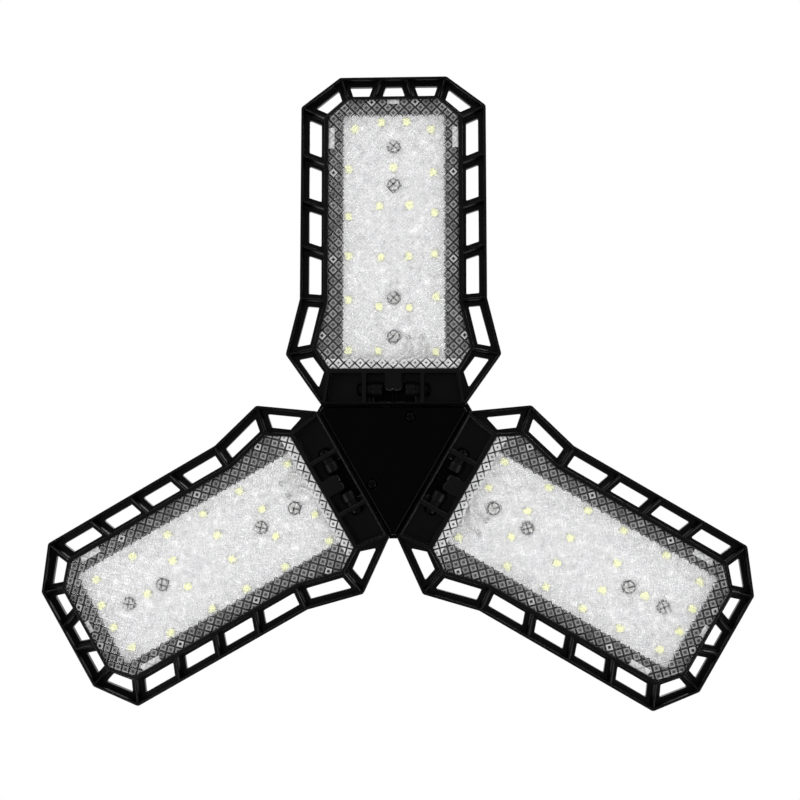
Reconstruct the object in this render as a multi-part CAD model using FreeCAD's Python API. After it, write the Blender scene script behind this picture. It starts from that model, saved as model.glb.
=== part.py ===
import FreeCAD, Part
import math
import os

# Deformable garage light: three flat lamp leaves hinged to a triangular hub that hangs from
# a screw cap. Millimetres, +Z up. The origin is on the lamp's axis, in the plane where the
# metal cap meets the plastic neck. The leaves shine down, along -Z.

V = FreeCAD.Vector
Z_AXIS = V(0, 0, 1)

# ---------------------------------------------------------------- driving dimensions

# Heights
Z_FRONT = -72.0             # plane of the leaves' front rims, the lamp's lowest plane
HUB_DEPTH = 20.0            # from the front plane up to the top of the hub
LEAF_ANGLES = {"a": 0.0, "b": 120.0, "c": 240.0}    # leaf a points along -Y

# Outlines of one leaf, right half: (distance across, distance out from the lamp's axis)
OUTER_HALF = [(22.7, 159.1), (39.3, 146.6), (39.65, 64.4), (45.6, 40.7), (30.4, 19.3)]
LENS_HALF = [(18.9, 149.7), (27.7, 142.0), (27.95, 63.0), (32.7, 43.6), (27.0, 34.7)]
WINDOW_OUT_HALF = [(21.9, 156.2), (36.05, 145.0), (36.35, 62.6), (42.1, 41.2), (26.2, 19.0)]
WINDOW_IN_HALF = [(20.1, 152.2), (31.0, 142.9), (31.0, 64.9), (36.4, 42.5), (29.8, 33.5), (34.5, 19.0)]
BOX_HALF = [(27.8, 34.7), (30.2, 19.3)]

# Leaf frame: depths are counted up from the front plane
RIM_WALLS = [1.1, 1.7, 1.4, 1.3, 1.9]   # wall round the lens, side by side from the tip's corner
RIM_WALL_TIP = 1.0          # and at the tip
OUTER_ROUND = 1.8
OUTER_WALL = 1.1            # wall round the open border
WELL_DEPTH = 10.2           # rim wall, front to back
LENS_RECESS = 1.0
LENS_THICK = 2.0
LEDGE = 1.5                 # width of the ledge that carries the lens
LENS_PLAY = 0.15            # gap between lens and rim
WIRE_PORT = ((-2.6, 2.6), (31.7, 38.7), (4.3, 6.3))     # the wires' way through the rim
FLANGE_TOP = 4.5            # front face of the border's flange
FLANGE_BACK = 7.0
WINDOW_ROUND = 0.4
RIBS = [                    # ribs of the right half: inner end, outer end, flange left beside the windows
    ((8.2, 150.6), (5.4, 158.4), 5.4),
    ((19.6, 150.5), (22.2, 158.4), 5.2),
    ((28.6, 142.0), (38.6, 146.4), 5.6),
    ((28.8, 122.2), (38.9, 126.2), 5.4),
    ((28.8, 103.1), (38.9, 106.5), 5.4),
    ((28.8, 83.7), (38.9, 87.2), 5.4),
    ((28.8, 63.7), (39.2, 64.6), 5.5),
    ((33.5, 43.0), (44.9, 40.8), 5.6),
]
RIB_FOOT = 2.0              # drafted web on each rib's line: width at its foot
RIB_EDGE = 0.8              # and at its front edge
RIB_DROP = 0.5              # web's front edge, behind the rim

# Hinge box at the inner end of a leaf
BOX_WALL = 1.3
BOX_DEPTH = 8.0
BOX_FLOOR = 0.9
EAR_X = 12.3                # middle of each hinge ear
EAR_THICK = 1.8
SLOT_HALF = 9.6             # opening for the hub's arms and the wires
SLOT_END = 28.9
RIM_BAR = 1.8               # depth of the bar in front of that opening
BAR_CHAMFER = 0.9           # on the bar's front edge, so that it swings clear of the hub
TAB_HALF = 3.5
TAB_START = 26.4
TAB_THICK = 1.6
EAR_START = 19.8

# Hinges
AXIS_OUT = 26.0             # hinge axis, distance from the lamp's axis
AXIS_DEPTH = 4.0            # and behind the front plane
ARM_IN = 5.2                # hub arm, inner and outer face
ARM_OUT = 9.2
KNUCKLE_R = 3.4
ARM_LEG = 2.4               # half the width of an arm's leg
BRIDGE_LOW = 15.4           # depths of the plate that joins a pair of arms
BRIDGE_HIGH = 17.4
BRIDGE_END = 30.6
BRIDGE_HALF = 10.2
BRIDGE_ROUND = 1.5
ARM_ROOT = 17.1             # the arms start here, inside the hub's wall
SCREW_R = 1.5               # M3
RUN_CLEARANCE = 0.05        # running fit and axial play at the hinge
PLAY = 0.05
WASHER_THICK = 0.5
WASHER_R = 2.9
HEAD_R = 2.8
HEAD_HIGH = 1.9
HEAD_ROUND = 0.8
HINGE_HEAD_R = 2.7
HINGE_SOCKET_R = 1.1        # the hinge screws' hexagon socket, modelled round
HINGE_SOCKET_DEEP = 1.0
SHANK_START = 5.4           # inner end of a hinge screw
RECESS_SLOT = 0.7           # cross recess of the other screws
HOLE_PLAY = 0.1             # round a screw or a stud in its hole

# Light board and what is on it
BOARD_HALF = 21.8
BOARD_IN = 38.4
BOARD_OUT = 144.3
BOARD_CORNER = 1.5
BOARD_FRONT = 7.0
BOARD_THICK = 1.2
LED_SIZE = (3.5, 2.8, 0.8)
LED_ROWS = [
    [(-16.8, 138.5), (-5.4, 141.3), (5.5, 141.3), (16.0, 137.8)],
    [(-19.5, 121.0), (-0.2, 121.5), (17.0, 119.3)],
    [(-19.5, 100.5), (-6.1, 104.9), (6.6, 105.1), (17.5, 101.8)],
    [(-19.4, 83.4), (-5.5, 82.7), (6.5, 83.2), (17.4, 84.1)],
    [(-19.5, 64.5), (-6.3, 61.6), (6.6, 61.1), (18.0, 65.8)],
    [(-19.5, 42.9), (-6.6, 42.6), (17.8, 42.1)],
]
BOARD_SCREWS = [48.8, 65.2, 114.0, 130.5]   # on the leaf's centre line
STUDS = [(9.3, 148.4), (25.6, 118.7), (25.6, 81.4), (30.3, 48.8), (14.0, 37.2)]
STUD_R = 0.8
STUD_LONG = 2.0
STUD_HOLE = 2.4
BOSS_R = 2.0
BOARD_SHANK = 5.4           # from the board's front to the board screws' ends
HOOK_OUT = 133.0            # the lens's side hooks
HOOK_LONG = 7.4
HOOK_SIDES = (1.2, 0.3)     # a hook's faces, inwards of the lens's widest straight side
HOOK_TIP = 6.4
HOOK_ROOM = 0.3
PADS = [(6.1, 48.5), (12.0, 48.5)]          # solder pads of the lead wires
WIRE_R = 0.6
WIRE_START = 1.5            # a wire starts this far outwards of its pad
WIRE_BEND = 0.9
PAIR_IN_PORT = 1.6          # half the distance between the two wires: in the rim's port
PAIR_AT_TAB = 3.2           # beside the tab
PAIR_ON_AXIS = 2.0          # where each wire meets the hub's
PAIR_IN_HUB = 0.8           # and in the hub

# Heat sink
SINK_PLATE = 2.0
SINK_FIN_HIGH = 3.6
SINK_FIN_THICK = 1.3
SINK_FIN_PITCH = 4.4
SINK_FIN_COUNT = 11
SINK_FIN_START = 41.0       # the fins run from here
SINK_FIN_REACH = 146.0      # to here
SINK_FIN_SHORT_FROM = 20.0  # the outermost fins end sooner, where the tip is cut off
SINK_FIN_SHORT_REACH = 141.0
SINK_BOSS_R = 3.2
SINK_SCREWS = [STUDS[1], STUDS[3]]
SINK_PLAY = 0.2
SINK_TAPPED = 2.5           # depth of the board screws' threads
SINK_HEAD_R = 2.0
SINK_HEAD_HIGH = 1.3
SINK_SCREW_R = 0.9
SINK_SCREW_TIP = 5.8        # depth reached by the sink screws
SINK_SCREW_HOLE = 1.15

# Hub
HUB_IN = 18.6               # distance from the axis to each side
ROOF_IN = 21.4              # the roof reaches further, over the leaves' inner ends
ROOF_CORNER = 37.6
ROOF_LOW = 12.4             # and starts at this depth
PORT_HALF = 2.4             # port for a leaf's wires, through the wall and the roof's edge
PORT_LOW = 12.0
PORT_HIGH = 15.2
HUB_CORNER = 35.2           # and to each cut corner
HUB_WALL = 2.0
BODY_INSET = 0.2            # the cover stands this much proud of the walls
COVER_THICK = 2.5
COVER_BEVEL = 0.8
COVER_SCREWS = [(7.2, -14.4), (-8.8, 13.9)]
COVER_POST_R = 3.2
COVER_HEAD_R = 2.1
COVER_HEAD_LOW = 0.2
COVER_HEAD_HIGH = 1.2
COVER_SHANK_END = 10.5
COVER_HOLE_R = 1.6
COVER_SINK = (2.3, 1.4)     # the heads' recess: radius and depth
SMALL_SHANK_R = 1.2         # screws of the cover and of the neck
HUB_FOOT = 1.5              # round pad under the neck
HUB_MOUTH_R = 10.0          # opening from the hub into the neck
HUB_WIRE_LOW = 14.0         # depths of the wires in the hub
HUB_WIRE_HIGH = 21.8
HUB_WIRE_TURN = 8.0
HUB_WIRE_BEND = 1.1

# Neck, a hollow turned shape: (radius, height) from the hub up to the cap
NECK_FOOT_R = 22.5
NECK_BODY_R = 20.5
NECK_COLLAR_R = 15.2
NECK_WALL = 1.8
NECK_SHOULDER = -16.0
NECK_COLLAR_LOW = -9.0
VENT_COUNT = 18
VENT_WIDE = 2.4
VENT_LOW = -46.0
VENT_HIGH = -22.0
COLLAR_WALL = 3.4
NECK_SEAT = (-3.0, -1.0)    # ring that carries the spigot: its low and its high face
NECK_SCREW_REACH = 18.4
NECK_SCREW_END = 7.2
NECK_HEAD_R = 2.4
NECK_HEAD_HIGH = 1.6
NECK_POST_R = 3.0
NECK_POST_HIGH = 9.0
RAIL_THICK = 1.2            # rails that hold the driver's board
RAIL_HIGH = 26.0
RAIL_OVERLAP = 0.8

# Driver, upright in the neck
DRIVER_HALF = 15.0
DRIVER_LOW = -48.0
DRIVER_HIGH = -14.5
DRIVER_THICK = 1.6
SOCKET_IN = 3.6             # plug block under the board, where the leaves' wires meet
SOCKET_LOW = -51.6
CAN_AT = (-7.5, 6.0, -47.0)             # smoothing capacitor: middle of its low end
CAN_R = 5.0
CAN_HIGH = 20.0
CAN_GROOVE = (5.3, 0.6, 17.0)           # ring radius, section radius, height
CHOKE_AT = (7.0, 0.8, -38.0)            # choke, its axis along Y
CHOKE_R = 6.5
CHOKE_WINDING_R = 5.4
CHOKE_FLANGE = 1.5
CHOKE_WINDING = 8.0
BRIDGE_CHIP = ((6.5, 2.6, 5.0), (-10.0, -3.4, -22.0))   # size, low corner
CONTROL_CHIP = ((5.0, 1.6, 4.0), (1.0, -2.4, -36.0))
FUSE = (1.6, 8.0, (6.5, 2.6, -22.0))    # radius, length, middle of its low end
MAINS_LOW = -18.5
MAINS_BEND = 2.0
LEAD_TO_SHELL = [(-4.0, 1.7, MAINS_LOW), (-4.0, 1.7, -2.0), (-9.2, 1.7, 4.0), (-9.2, 1.7, 11.0)]
LEAD_TO_CONTACT = [(3.0, 1.7, MAINS_LOW), (3.0, 1.7, -4.0), (0.0, 0.0, 3.0), (0.0, 0.0, 23.2)]

# Screw cap, 27 mm thread
CAP_SKIRT_R = 13.2
CAP_SKIRT_HIGH = 4.0
CAP_WALL = 0.5
THREAD_MEAN_R = 12.70
THREAD_SWING = 0.475
THREAD_PITCH = 3.63
THREAD_TURNS = 4.5
THREAD_STEPS = 12           # sections of the thread per turn
CAP_NECK_R = 11.6           # spigot of the neck, inside the cap
SPIGOT_IN_R = 10.0
SPIGOT_TOP = 12.0
CAP_TOP = 21.6
INSULATOR_R = 7.6
INSULATOR_HIGH = 2.8        # above the shell's end
CONTACT_R = 4.6
CONTACT_STEM_R = 1.4
CONTACT_TOP = 26.0

os.makedirs("parts", exist_ok=True)


# ---------------------------------------------------------------- shared geometry

def leaf_point(across, out, depth):
    """A point of leaf a, from its place across, its place out and its depth."""
    return V(across, -out, Z_FRONT + depth)


def whole_outline(half):
    """Both halves of an outline given by its right half, tip first."""
    return half + [(-across, out) for across, out in reversed(half)]


def offset_outline(points, distance):
    """The outline moved outwards (inwards if negative), by one distance or by one for each side."""
    count = len(points)
    distances = distance if isinstance(distance, list) else [distance] * count
    lines = []
    for i in range(count):
        x0, y0 = points[i]
        x1, y1 = points[(i + 1) % count]
        length = math.hypot(x1 - x0, y1 - y0)
        nx = -(y1 - y0) / length
        ny = (x1 - x0) / length
        lines.append((nx, ny, nx * x0 + ny * y0 + distances[i]))
    moved = []
    for i in range(count):
        a0, b0, c0 = lines[i - 1]
        a1, b1, c1 = lines[i]
        det = a0 * b1 - a1 * b0
        moved.append(((c0 * b1 - c1 * b0) / det, (a0 * c1 - a1 * c0) / det))
    return moved


def rounded_face(corners, radius):
    """A flat face through the corners, each rounded to the radius."""
    starts = []
    middles = []
    ends = []
    count = len(corners)
    for i, corner in enumerate(corners):
        back = (corners[i - 1] - corner).normalize()
        ahead = (corners[(i + 1) % count] - corner).normalize()
        half = back.getAngle(ahead) / 2
        cut = radius / math.tan(half)
        reach = radius / math.sin(half) - radius
        starts.append(corner + back * cut)
        middles.append(corner + (back + ahead).normalize() * reach)
        ends.append(corner + ahead * cut)
    edges = []
    for i in range(count):
        edges.append(Part.Arc(starts[i], middles[i], ends[i]).toShape())
        edges.append(Part.LineSegment(ends[i], starts[(i + 1) % count]).toShape())
    return Part.Face(Part.Wire(edges))


def leaf_prism(outline, low, high, radius=1.0):
    """A prism on a leaf outline between two depths."""
    corners = [leaf_point(across, out, low) for across, out in outline]
    if radius > 0:
        face = rounded_face(corners, radius)
    else:
        face = Part.Face(Part.makePolygon(corners + corners[:1]))
    return face.extrude(Z_AXIS * (high - low))


def leaf_box(across, out, depth):
    """A box in leaf a, from three (low, high) pairs."""
    corner = leaf_point(across[0], out[1], depth[0])
    return Part.makeBox(across[1] - across[0], out[1] - out[0], depth[1] - depth[0], corner)


def leaf_peg(across, out, low, high, radius):
    """A round peg along Z in leaf a."""
    return Part.makeCylinder(radius, high - low, leaf_point(across, out, low), Z_AXIS)


def hinge_rod(start, end, radius):
    """A round rod on leaf a's hinge axis, between two places across."""
    return Part.makeCylinder(radius, end - start, leaf_point(start, AXIS_OUT, AXIS_DEPTH), V(1, 0, 0))


def joined(solids):
    """One solid fused from several."""
    solids = list(solids)
    return solids[0].multiFuse(solids[1:]).removeSplitter()


def both_sides(across, out):
    """A place and its mirror image on the other half of the leaf."""
    return [(across, out), (-across, out)]


def wire_path(points, bend):
    """Straight runs through the points, joined by round bends of one radius."""
    edges = []
    last = points[0]
    for i in range(1, len(points) - 1):
        corner = points[i]
        back = (points[i - 1] - corner).normalize()
        ahead = (points[i + 1] - corner).normalize()
        half = back.getAngle(ahead) / 2
        start = corner + back * (bend / math.tan(half))
        end = corner + ahead * (bend / math.tan(half))
        middle = corner + (back + ahead).normalize() * (bend / math.sin(half) - bend)
        edges.append(Part.LineSegment(last, start).toShape())
        edges.append(Part.Arc(start, middle, end).toShape())
        last = end
    edges.append(Part.LineSegment(last, points[-1]).toShape())
    return Part.Wire(edges)


def wire_solid(points, bend, radius=WIRE_R):
    """A round wire along straight runs and bends."""
    path = wire_path(points, bend)
    ring = Part.Wire(Part.Circle(points[0], points[1] - points[0], radius).toShape())
    return path.makePipeShell([ring], True, False)


def save(name, shape):
    """Write one sub-part under its name, after a check of its solids."""
    if not shape.isValid():
        raise RuntimeError(name + " isn't valid")
    shape.exportStep("parts/" + name + ".step")


def save_leaf(name, shape):
    """Write a leaf's sub-part three times, turned to each leaf's place."""
    for letter, angle in LEAF_ANGLES.items():
        turned = shape.copy()
        turned.rotate(V(0, 0, 0), Z_AXIS, angle)
        save(name + "_" + letter, turned)


OUTER = whole_outline(OUTER_HALF)
LENS = whole_outline(LENS_HALF)
RIM = offset_outline(LENS, RIM_WALLS + RIM_WALLS[-2::-1] + [RIM_WALL_TIP])


# ---------------------------------------------------------------- leaf

def rib_outline(line, width, reach):
    """Four corners of a straight strip along a rib's line, longer by reach at both ends."""
    (x0, y0), (x1, y1) = line
    length = math.hypot(x1 - x0, y1 - y0)
    ux = (x1 - x0) / length
    uy = (y1 - y0) / length
    half = width / 2
    ax, ay = x0 - ux * reach, y0 - uy * reach
    bx, by = x1 + ux * reach, y1 + uy * reach
    return [(ax - uy * half, ay + ux * half), (bx - uy * half, by + ux * half),
            (bx + uy * half, by - ux * half), (ax + uy * half, ay - ux * half)]


def rib_web(line):
    """A rib's web: wide where it stands on the flange, narrow at its front edge."""
    loops = []
    for width, depth in ((RIB_FOOT, FLANGE_TOP), (RIB_EDGE, RIB_DROP)):
        corners = [leaf_point(x, s, depth) for x, s in rib_outline(line, width, 0)]
        loops.append(Part.makePolygon(corners + corners[:1]))
    return Part.makeLoft(loops, True, True)


def all_ribs():
    """The ribs of both halves: (line, width of the flange beside the windows)."""
    ribs = []
    for inner, outer, band in RIBS:
        ribs.append(((inner, outer), band))
        ribs.append((((-inner[0], inner[1]), (-outer[0], outer[1])), band))
    return ribs


def border_windows():
    """The openings of the border: the strip between rim and edge, less the rib bands."""
    strip = leaf_prism(whole_outline(WINDOW_OUT_HALF), FLANGE_TOP - 1, FLANGE_BACK + 1, 0)
    low, high = FLANGE_TOP - 2, FLANGE_BACK + 2
    core = leaf_prism(whole_outline(WINDOW_IN_HALF), low, high, 0)
    bands = [leaf_prism(rib_outline(line, band, 6), low, high, 0) for line, band in all_ribs()]
    openings = strip.cut([core] + bands)
    rounded = []
    for solid in openings.Solids:
        upright = [e for e in solid.Edges if abs(e.tangentAt(e.FirstParameter).z) > 0.99]
        rounded.append(solid.makeFillet(WINDOW_ROUND, upright))
    return rounded


def bar_chamfer():
    """What is taken off the front edge of the leaf's inner end."""
    inner_end = OUTER_HALF[4][1]
    reach = OUTER_HALF[4][0] + 1
    corners = [leaf_point(-reach, inner_end - 1, -1), leaf_point(-reach, inner_end + BAR_CHAMFER + 1, -1),
               leaf_point(-reach, inner_end - 1, BAR_CHAMFER + 1)]
    return Part.Face(Part.makePolygon(corners + corners[:1])).extrude(V(2 * reach, 0, 0))


def hinge_box():
    """Floor, side walls, ears and wire tab of the hinge box, with its openings cut."""
    outline = whole_outline(BOX_HALF)
    floor_front = BOX_DEPTH - BOX_FLOOR
    shell = leaf_prism(outline, 0, BOX_DEPTH, 0)
    hollow = leaf_prism(offset_outline(outline, -BOX_WALL), -1, floor_front, 0)
    inner_end = OUTER_HALF[4][1]
    rim_end = LENS_HALF[4][1]
    ears = []
    for side in (1, -1):
        low = side * EAR_X - EAR_THICK / 2
        ears.append(leaf_box((low, low + EAR_THICK), (EAR_START, rim_end), (0, BOX_DEPTH)))
    tab = leaf_box((-TAB_HALF, TAB_HALF), (TAB_START, rim_end), (0, TAB_THICK))
    slot = leaf_box((-SLOT_HALF, SLOT_HALF), (inner_end - 1, SLOT_END), (RIM_BAR, BOX_DEPTH + 1))
    bore = hinge_rod(-EAR_X - EAR_THICK, EAR_X + EAR_THICK, SCREW_R + RUN_CLEARANCE)
    box = shell.cut(hollow).multiFuse(ears + [tab])
    return box.cut([slot, bore, bar_chamfer()])


def leaf_frame():
    """The moulded frame: rim wall, ledge, open border with its ribs, and hinge box."""
    rim_outer = leaf_prism(RIM, 0, WELL_DEPTH)
    well = leaf_prism(LENS, -1, WELL_DEPTH + 1)
    seat = LENS_RECESS + LENS_THICK
    ledge = leaf_prism(LENS, seat, BOARD_FRONT + BOARD_THICK)
    ledge_hole = leaf_prism(offset_outline(LENS, -LEDGE), 0, WELL_DEPTH)
    flange = leaf_prism(OUTER, FLANGE_TOP, FLANGE_BACK, OUTER_ROUND)
    wall_inside = leaf_prism(offset_outline(OUTER, -OUTER_WALL), -1, WELL_DEPTH, OUTER_ROUND - OUTER_WALL)
    inside = leaf_prism(OUTER, 0, FLANGE_BACK, OUTER_ROUND)
    wall = inside.cut([wall_inside, bar_chamfer()])
    webs = [rib_web(line).common(inside) for line, band in all_ribs()]
    box_space = leaf_prism(whole_outline(BOX_HALF), -1, WELL_DEPTH, 0)
    border = flange.cut(border_windows()).multiFuse([wall] + webs)
    border = border.cut([leaf_prism(LENS, -1, WELL_DEPTH), box_space])
    bosses = []
    holes = []
    for across, out in STUDS:
        for x, s in both_sides(across, out):
            bosses.append(leaf_peg(x, s, seat, BOARD_FRONT, BOSS_R))
            holes.append(leaf_peg(x, s, seat - 1, seat + STUD_HOLE, STUD_R + HOLE_PLAY))
    for across, out in SINK_SCREWS:
        for x, s in both_sides(across, out):
            bosses.append(leaf_peg(x, s, BOARD_FRONT - 1, BOARD_FRONT + BOARD_THICK, BOSS_R))
            holes.append(leaf_peg(x, s, SINK_SCREW_TIP - 0.2, WELL_DEPTH, SINK_SCREW_R))
    holes += hook_boxes(HOOK_ROOM)
    holes.append(leaf_box(*WIRE_PORT))
    rim = rim_outer.cut(well).fuse(ledge.cut(ledge_hole))
    trimmed = [boss.common(leaf_prism(LENS, 0, WELL_DEPTH)) for boss in bosses]
    return joined([rim, border, hinge_box()] + trimmed).cut(holes)


def hook_boxes(grow):
    """The lens's two side hooks, larger by grow where the frame leaves room for them."""
    low = LENS_HALF[1][0] - HOOK_SIDES[0] - grow
    high = LENS_HALF[1][0] - HOOK_SIDES[1] + grow
    out = (HOOK_OUT - HOOK_LONG / 2 - grow, HOOK_OUT + HOOK_LONG / 2 + grow)
    depth = (LENS_RECESS + LENS_THICK, HOOK_TIP + grow)
    return [leaf_box((low, high), out, depth), leaf_box((-high, -low), out, depth)]


def lens():
    """The clear cover, with its locating studs and side hooks."""
    back = LENS_RECESS + LENS_THICK
    plate = leaf_prism(offset_outline(LENS, -LENS_PLAY), LENS_RECESS, back)
    pegs = []
    for across, out in STUDS:
        for x, s in both_sides(across, out):
            pegs.append(leaf_peg(x, s, back, back + STUD_LONG, STUD_R))
    return joined([plate] + pegs + hook_boxes(0))


def led_board():
    """The metal-cored light board, with holes for its screws."""
    outline = whole_outline([(BOARD_HALF, BOARD_OUT), (BOARD_HALF, BOARD_IN)])
    board = leaf_prism(outline, BOARD_FRONT, BOARD_FRONT + BOARD_THICK, BOARD_CORNER)
    holes = [leaf_peg(0, s, BOARD_FRONT - 1, BOARD_FRONT + 3, SCREW_R + HOLE_PLAY) for s in BOARD_SCREWS]
    return board.cut(holes)


def leds():
    """Every light-emitting package of one leaf."""
    long, wide, high = LED_SIZE
    packages = []
    for row in LED_ROWS:
        for x, s in row:
            across = (x - wide / 2, x + wide / 2)
            out = (s - long / 2, s + long / 2)
            packages.append(leaf_box(across, out, (BOARD_FRONT - high, BOARD_FRONT)))
    return Part.makeCompound(packages)


def heat_sink():
    """The finned plate behind the light board, with screw bosses."""
    outline = offset_outline(LENS, -SINK_PLAY)
    low = BOARD_FRONT + BOARD_THICK
    back = low + SINK_PLATE
    plate = leaf_prism(outline, low, back)
    fins = []
    first = -SINK_FIN_PITCH * (SINK_FIN_COUNT - 1) / 2
    for i in range(SINK_FIN_COUNT):
        x = first + i * SINK_FIN_PITCH
        reach = SINK_FIN_REACH if abs(x) < SINK_FIN_SHORT_FROM else SINK_FIN_SHORT_REACH
        across = (x - SINK_FIN_THICK / 2, x + SINK_FIN_THICK / 2)
        fins.append(leaf_box(across, (SINK_FIN_START, reach), (back, back + SINK_FIN_HIGH)))
    bosses = [leaf_peg(0, s, back, back + SINK_FIN_HIGH, SINK_BOSS_R) for s in BOARD_SCREWS]
    holes = [leaf_peg(0, s, low - 1, back + SINK_TAPPED, SCREW_R) for s in BOARD_SCREWS]
    for across, out in SINK_SCREWS:
        for x, s in both_sides(across, out):
            holes.append(leaf_peg(x, s, low - 1, back + 9, SINK_SCREW_HOLE))
    return joined([plate] + fins + bosses).cut(holes)


def cross_recess(at, radius, depth, upwards):
    """The cross cut in a screw head whose face is at a point."""
    arms = []
    for length, width in ((radius * 1.1, RECESS_SLOT), (RECESS_SLOT, radius * 1.1)):
        corner = at - V(length / 2, width / 2, 0 if upwards else depth)
        arms.append(Part.makeBox(length, width, depth, corner))
    return arms


def board_screws():
    """Pan-head screws that hold the light board to the heat sink."""
    screws = []
    for s in BOARD_SCREWS:
        head = leaf_peg(0, s, BOARD_FRONT - HEAD_HIGH, BOARD_FRONT, HEAD_R)
        rim = [e for e in head.Edges if abs(e.BoundBox.ZMin - (Z_FRONT + BOARD_FRONT - HEAD_HIGH)) < 0.01
               and e.BoundBox.ZLength < 0.01]
        head = head.makeFillet(HEAD_ROUND, rim)
        shank = leaf_peg(0, s, BOARD_FRONT - 0.5, BOARD_FRONT + BOARD_SHANK, SCREW_R)
        face = leaf_point(0, s, BOARD_FRONT - HEAD_HIGH)
        screws.append(head.fuse(shank).cut(cross_recess(face, HEAD_R, 0.9, True)))
    return Part.makeCompound(screws)


def sink_screws():
    """Small screws that hold the heat sink in the frame, from behind."""
    back = BOARD_FRONT + BOARD_THICK + SINK_PLATE
    screws = []
    for across, out in SINK_SCREWS:
        for x, s in both_sides(across, out):
            head = leaf_peg(x, s, back, back + SINK_HEAD_HIGH, SINK_HEAD_R)
            shank = leaf_peg(x, s, SINK_SCREW_TIP, back + 0.5, SINK_SCREW_R)
            face = leaf_point(x, s, back + SINK_HEAD_HIGH)
            screws.append(head.fuse(shank).cut(cross_recess(face, SINK_HEAD_R, 0.7, False)))
    return Part.makeCompound(screws)


def leaf_wires():
    """Two lead wires from the solder pads to the hinge axis, where they only twist."""
    wires = []
    for side, pad in zip((-1, 1), PADS):
        x, s = pad
        points = [leaf_point(x, s + WIRE_START, 6.3), leaf_point(x, 41.5, 5.3),
                  leaf_point(side * PAIR_IN_PORT, 38.0, 5.3), leaf_point(side * PAIR_IN_PORT, 33.0, 5.3),
                  leaf_point(side * PAIR_AT_TAB, 30.0, AXIS_DEPTH),
                  leaf_point(side * PAIR_AT_TAB, AXIS_OUT, AXIS_DEPTH),
                  leaf_point(side * PAIR_ON_AXIS, AXIS_OUT, AXIS_DEPTH)]
        wires.append(wire_solid(points, WIRE_BEND))
    return Part.makeCompound(wires)


# ---------------------------------------------------------------- hinge hardware

def hinge_screws():
    """Two screws per hinge: they run in the ears and grip the hub's arms."""
    head_at = EAR_X + EAR_THICK / 2 + PLAY + WASHER_THICK
    screws = []
    for side in (1, -1):
        shank = hinge_rod(SHANK_START, head_at + 0.5, SCREW_R)
        head = hinge_rod(head_at, head_at + HEAD_HIGH, HINGE_HEAD_R)
        face = head_at + HEAD_HIGH
        socket = hinge_rod(face - HINGE_SOCKET_DEEP, face + 1, HINGE_SOCKET_R)
        screw = shank.fuse(head).cut(socket)
        if side < 0:
            screw = screw.mirror(V(0, 0, 0), V(1, 0, 0))
        screws.append(screw)
    return Part.makeCompound(screws)


def hinge_washers():
    """A steel washer under each head and a friction bush between arm and ear."""
    ear_in = EAR_X - EAR_THICK / 2
    ear_out = EAR_X + EAR_THICK / 2
    rings = []
    for start, end in ((ear_out + PLAY, ear_out + PLAY + WASHER_THICK), (ARM_OUT, ear_in - PLAY)):
        ring = hinge_rod(start, end, WASHER_R).cut(hinge_rod(start - 1, end + 1, SCREW_R))
        rings.append(ring)
        rings.append(ring.mirror(V(0, 0, 0), V(1, 0, 0)))
    return Part.makeCompound(rings)


def hub_arms():
    """A pair of arms: a plate over the leaf's inner end, and two legs down to the hinge axis."""
    plate = leaf_box((-BRIDGE_HALF, BRIDGE_HALF), (ARM_ROOT, BRIDGE_END), (BRIDGE_LOW, BRIDGE_HIGH))
    edge = [e for e in plate.Edges if abs(e.BoundBox.YMax + BRIDGE_END) < 0.01 and e.BoundBox.XLength < 0.01]
    pieces = [plate.makeFillet(BRIDGE_ROUND, [e for e in edge if e.BoundBox.YLength < 0.01])]
    for low in (ARM_IN, -ARM_OUT):
        across = (low, low + ARM_OUT - ARM_IN)
        leg = leaf_box(across, (AXIS_OUT - ARM_LEG, AXIS_OUT + ARM_LEG), (AXIS_DEPTH, BRIDGE_LOW))
        web = leaf_box(across, (ARM_ROOT, AXIS_OUT), (ROOF_LOW, BRIDGE_LOW))
        pieces += [leg, web, hinge_rod(across[0], across[1], KNUCKLE_R)]
    return joined(pieces)


# ---------------------------------------------------------------- hub

def hub_outline(inradius, corner):
    """Triangle with cut corners; its sides face the leaves."""
    points = []
    for step in range(3):
        turn = math.radians(90 + 120 * step)
        half = (2 * inradius - corner) * math.tan(math.radians(30))
        for sign in (-1, 1):
            x = corner * math.cos(turn) - sign * half * math.sin(turn)
            y = corner * math.sin(turn) + sign * half * math.cos(turn)
            points.append((x, y))
    return points


def hub_prism(inradius, corner, low, high, radius):
    """A prism on the hub's outline between two depths."""
    corners = [V(x, y, Z_FRONT + low) for x, y in hub_outline(inradius, corner)]
    return rounded_face(corners, radius).extrude(Z_AXIS * (high - low))


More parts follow.
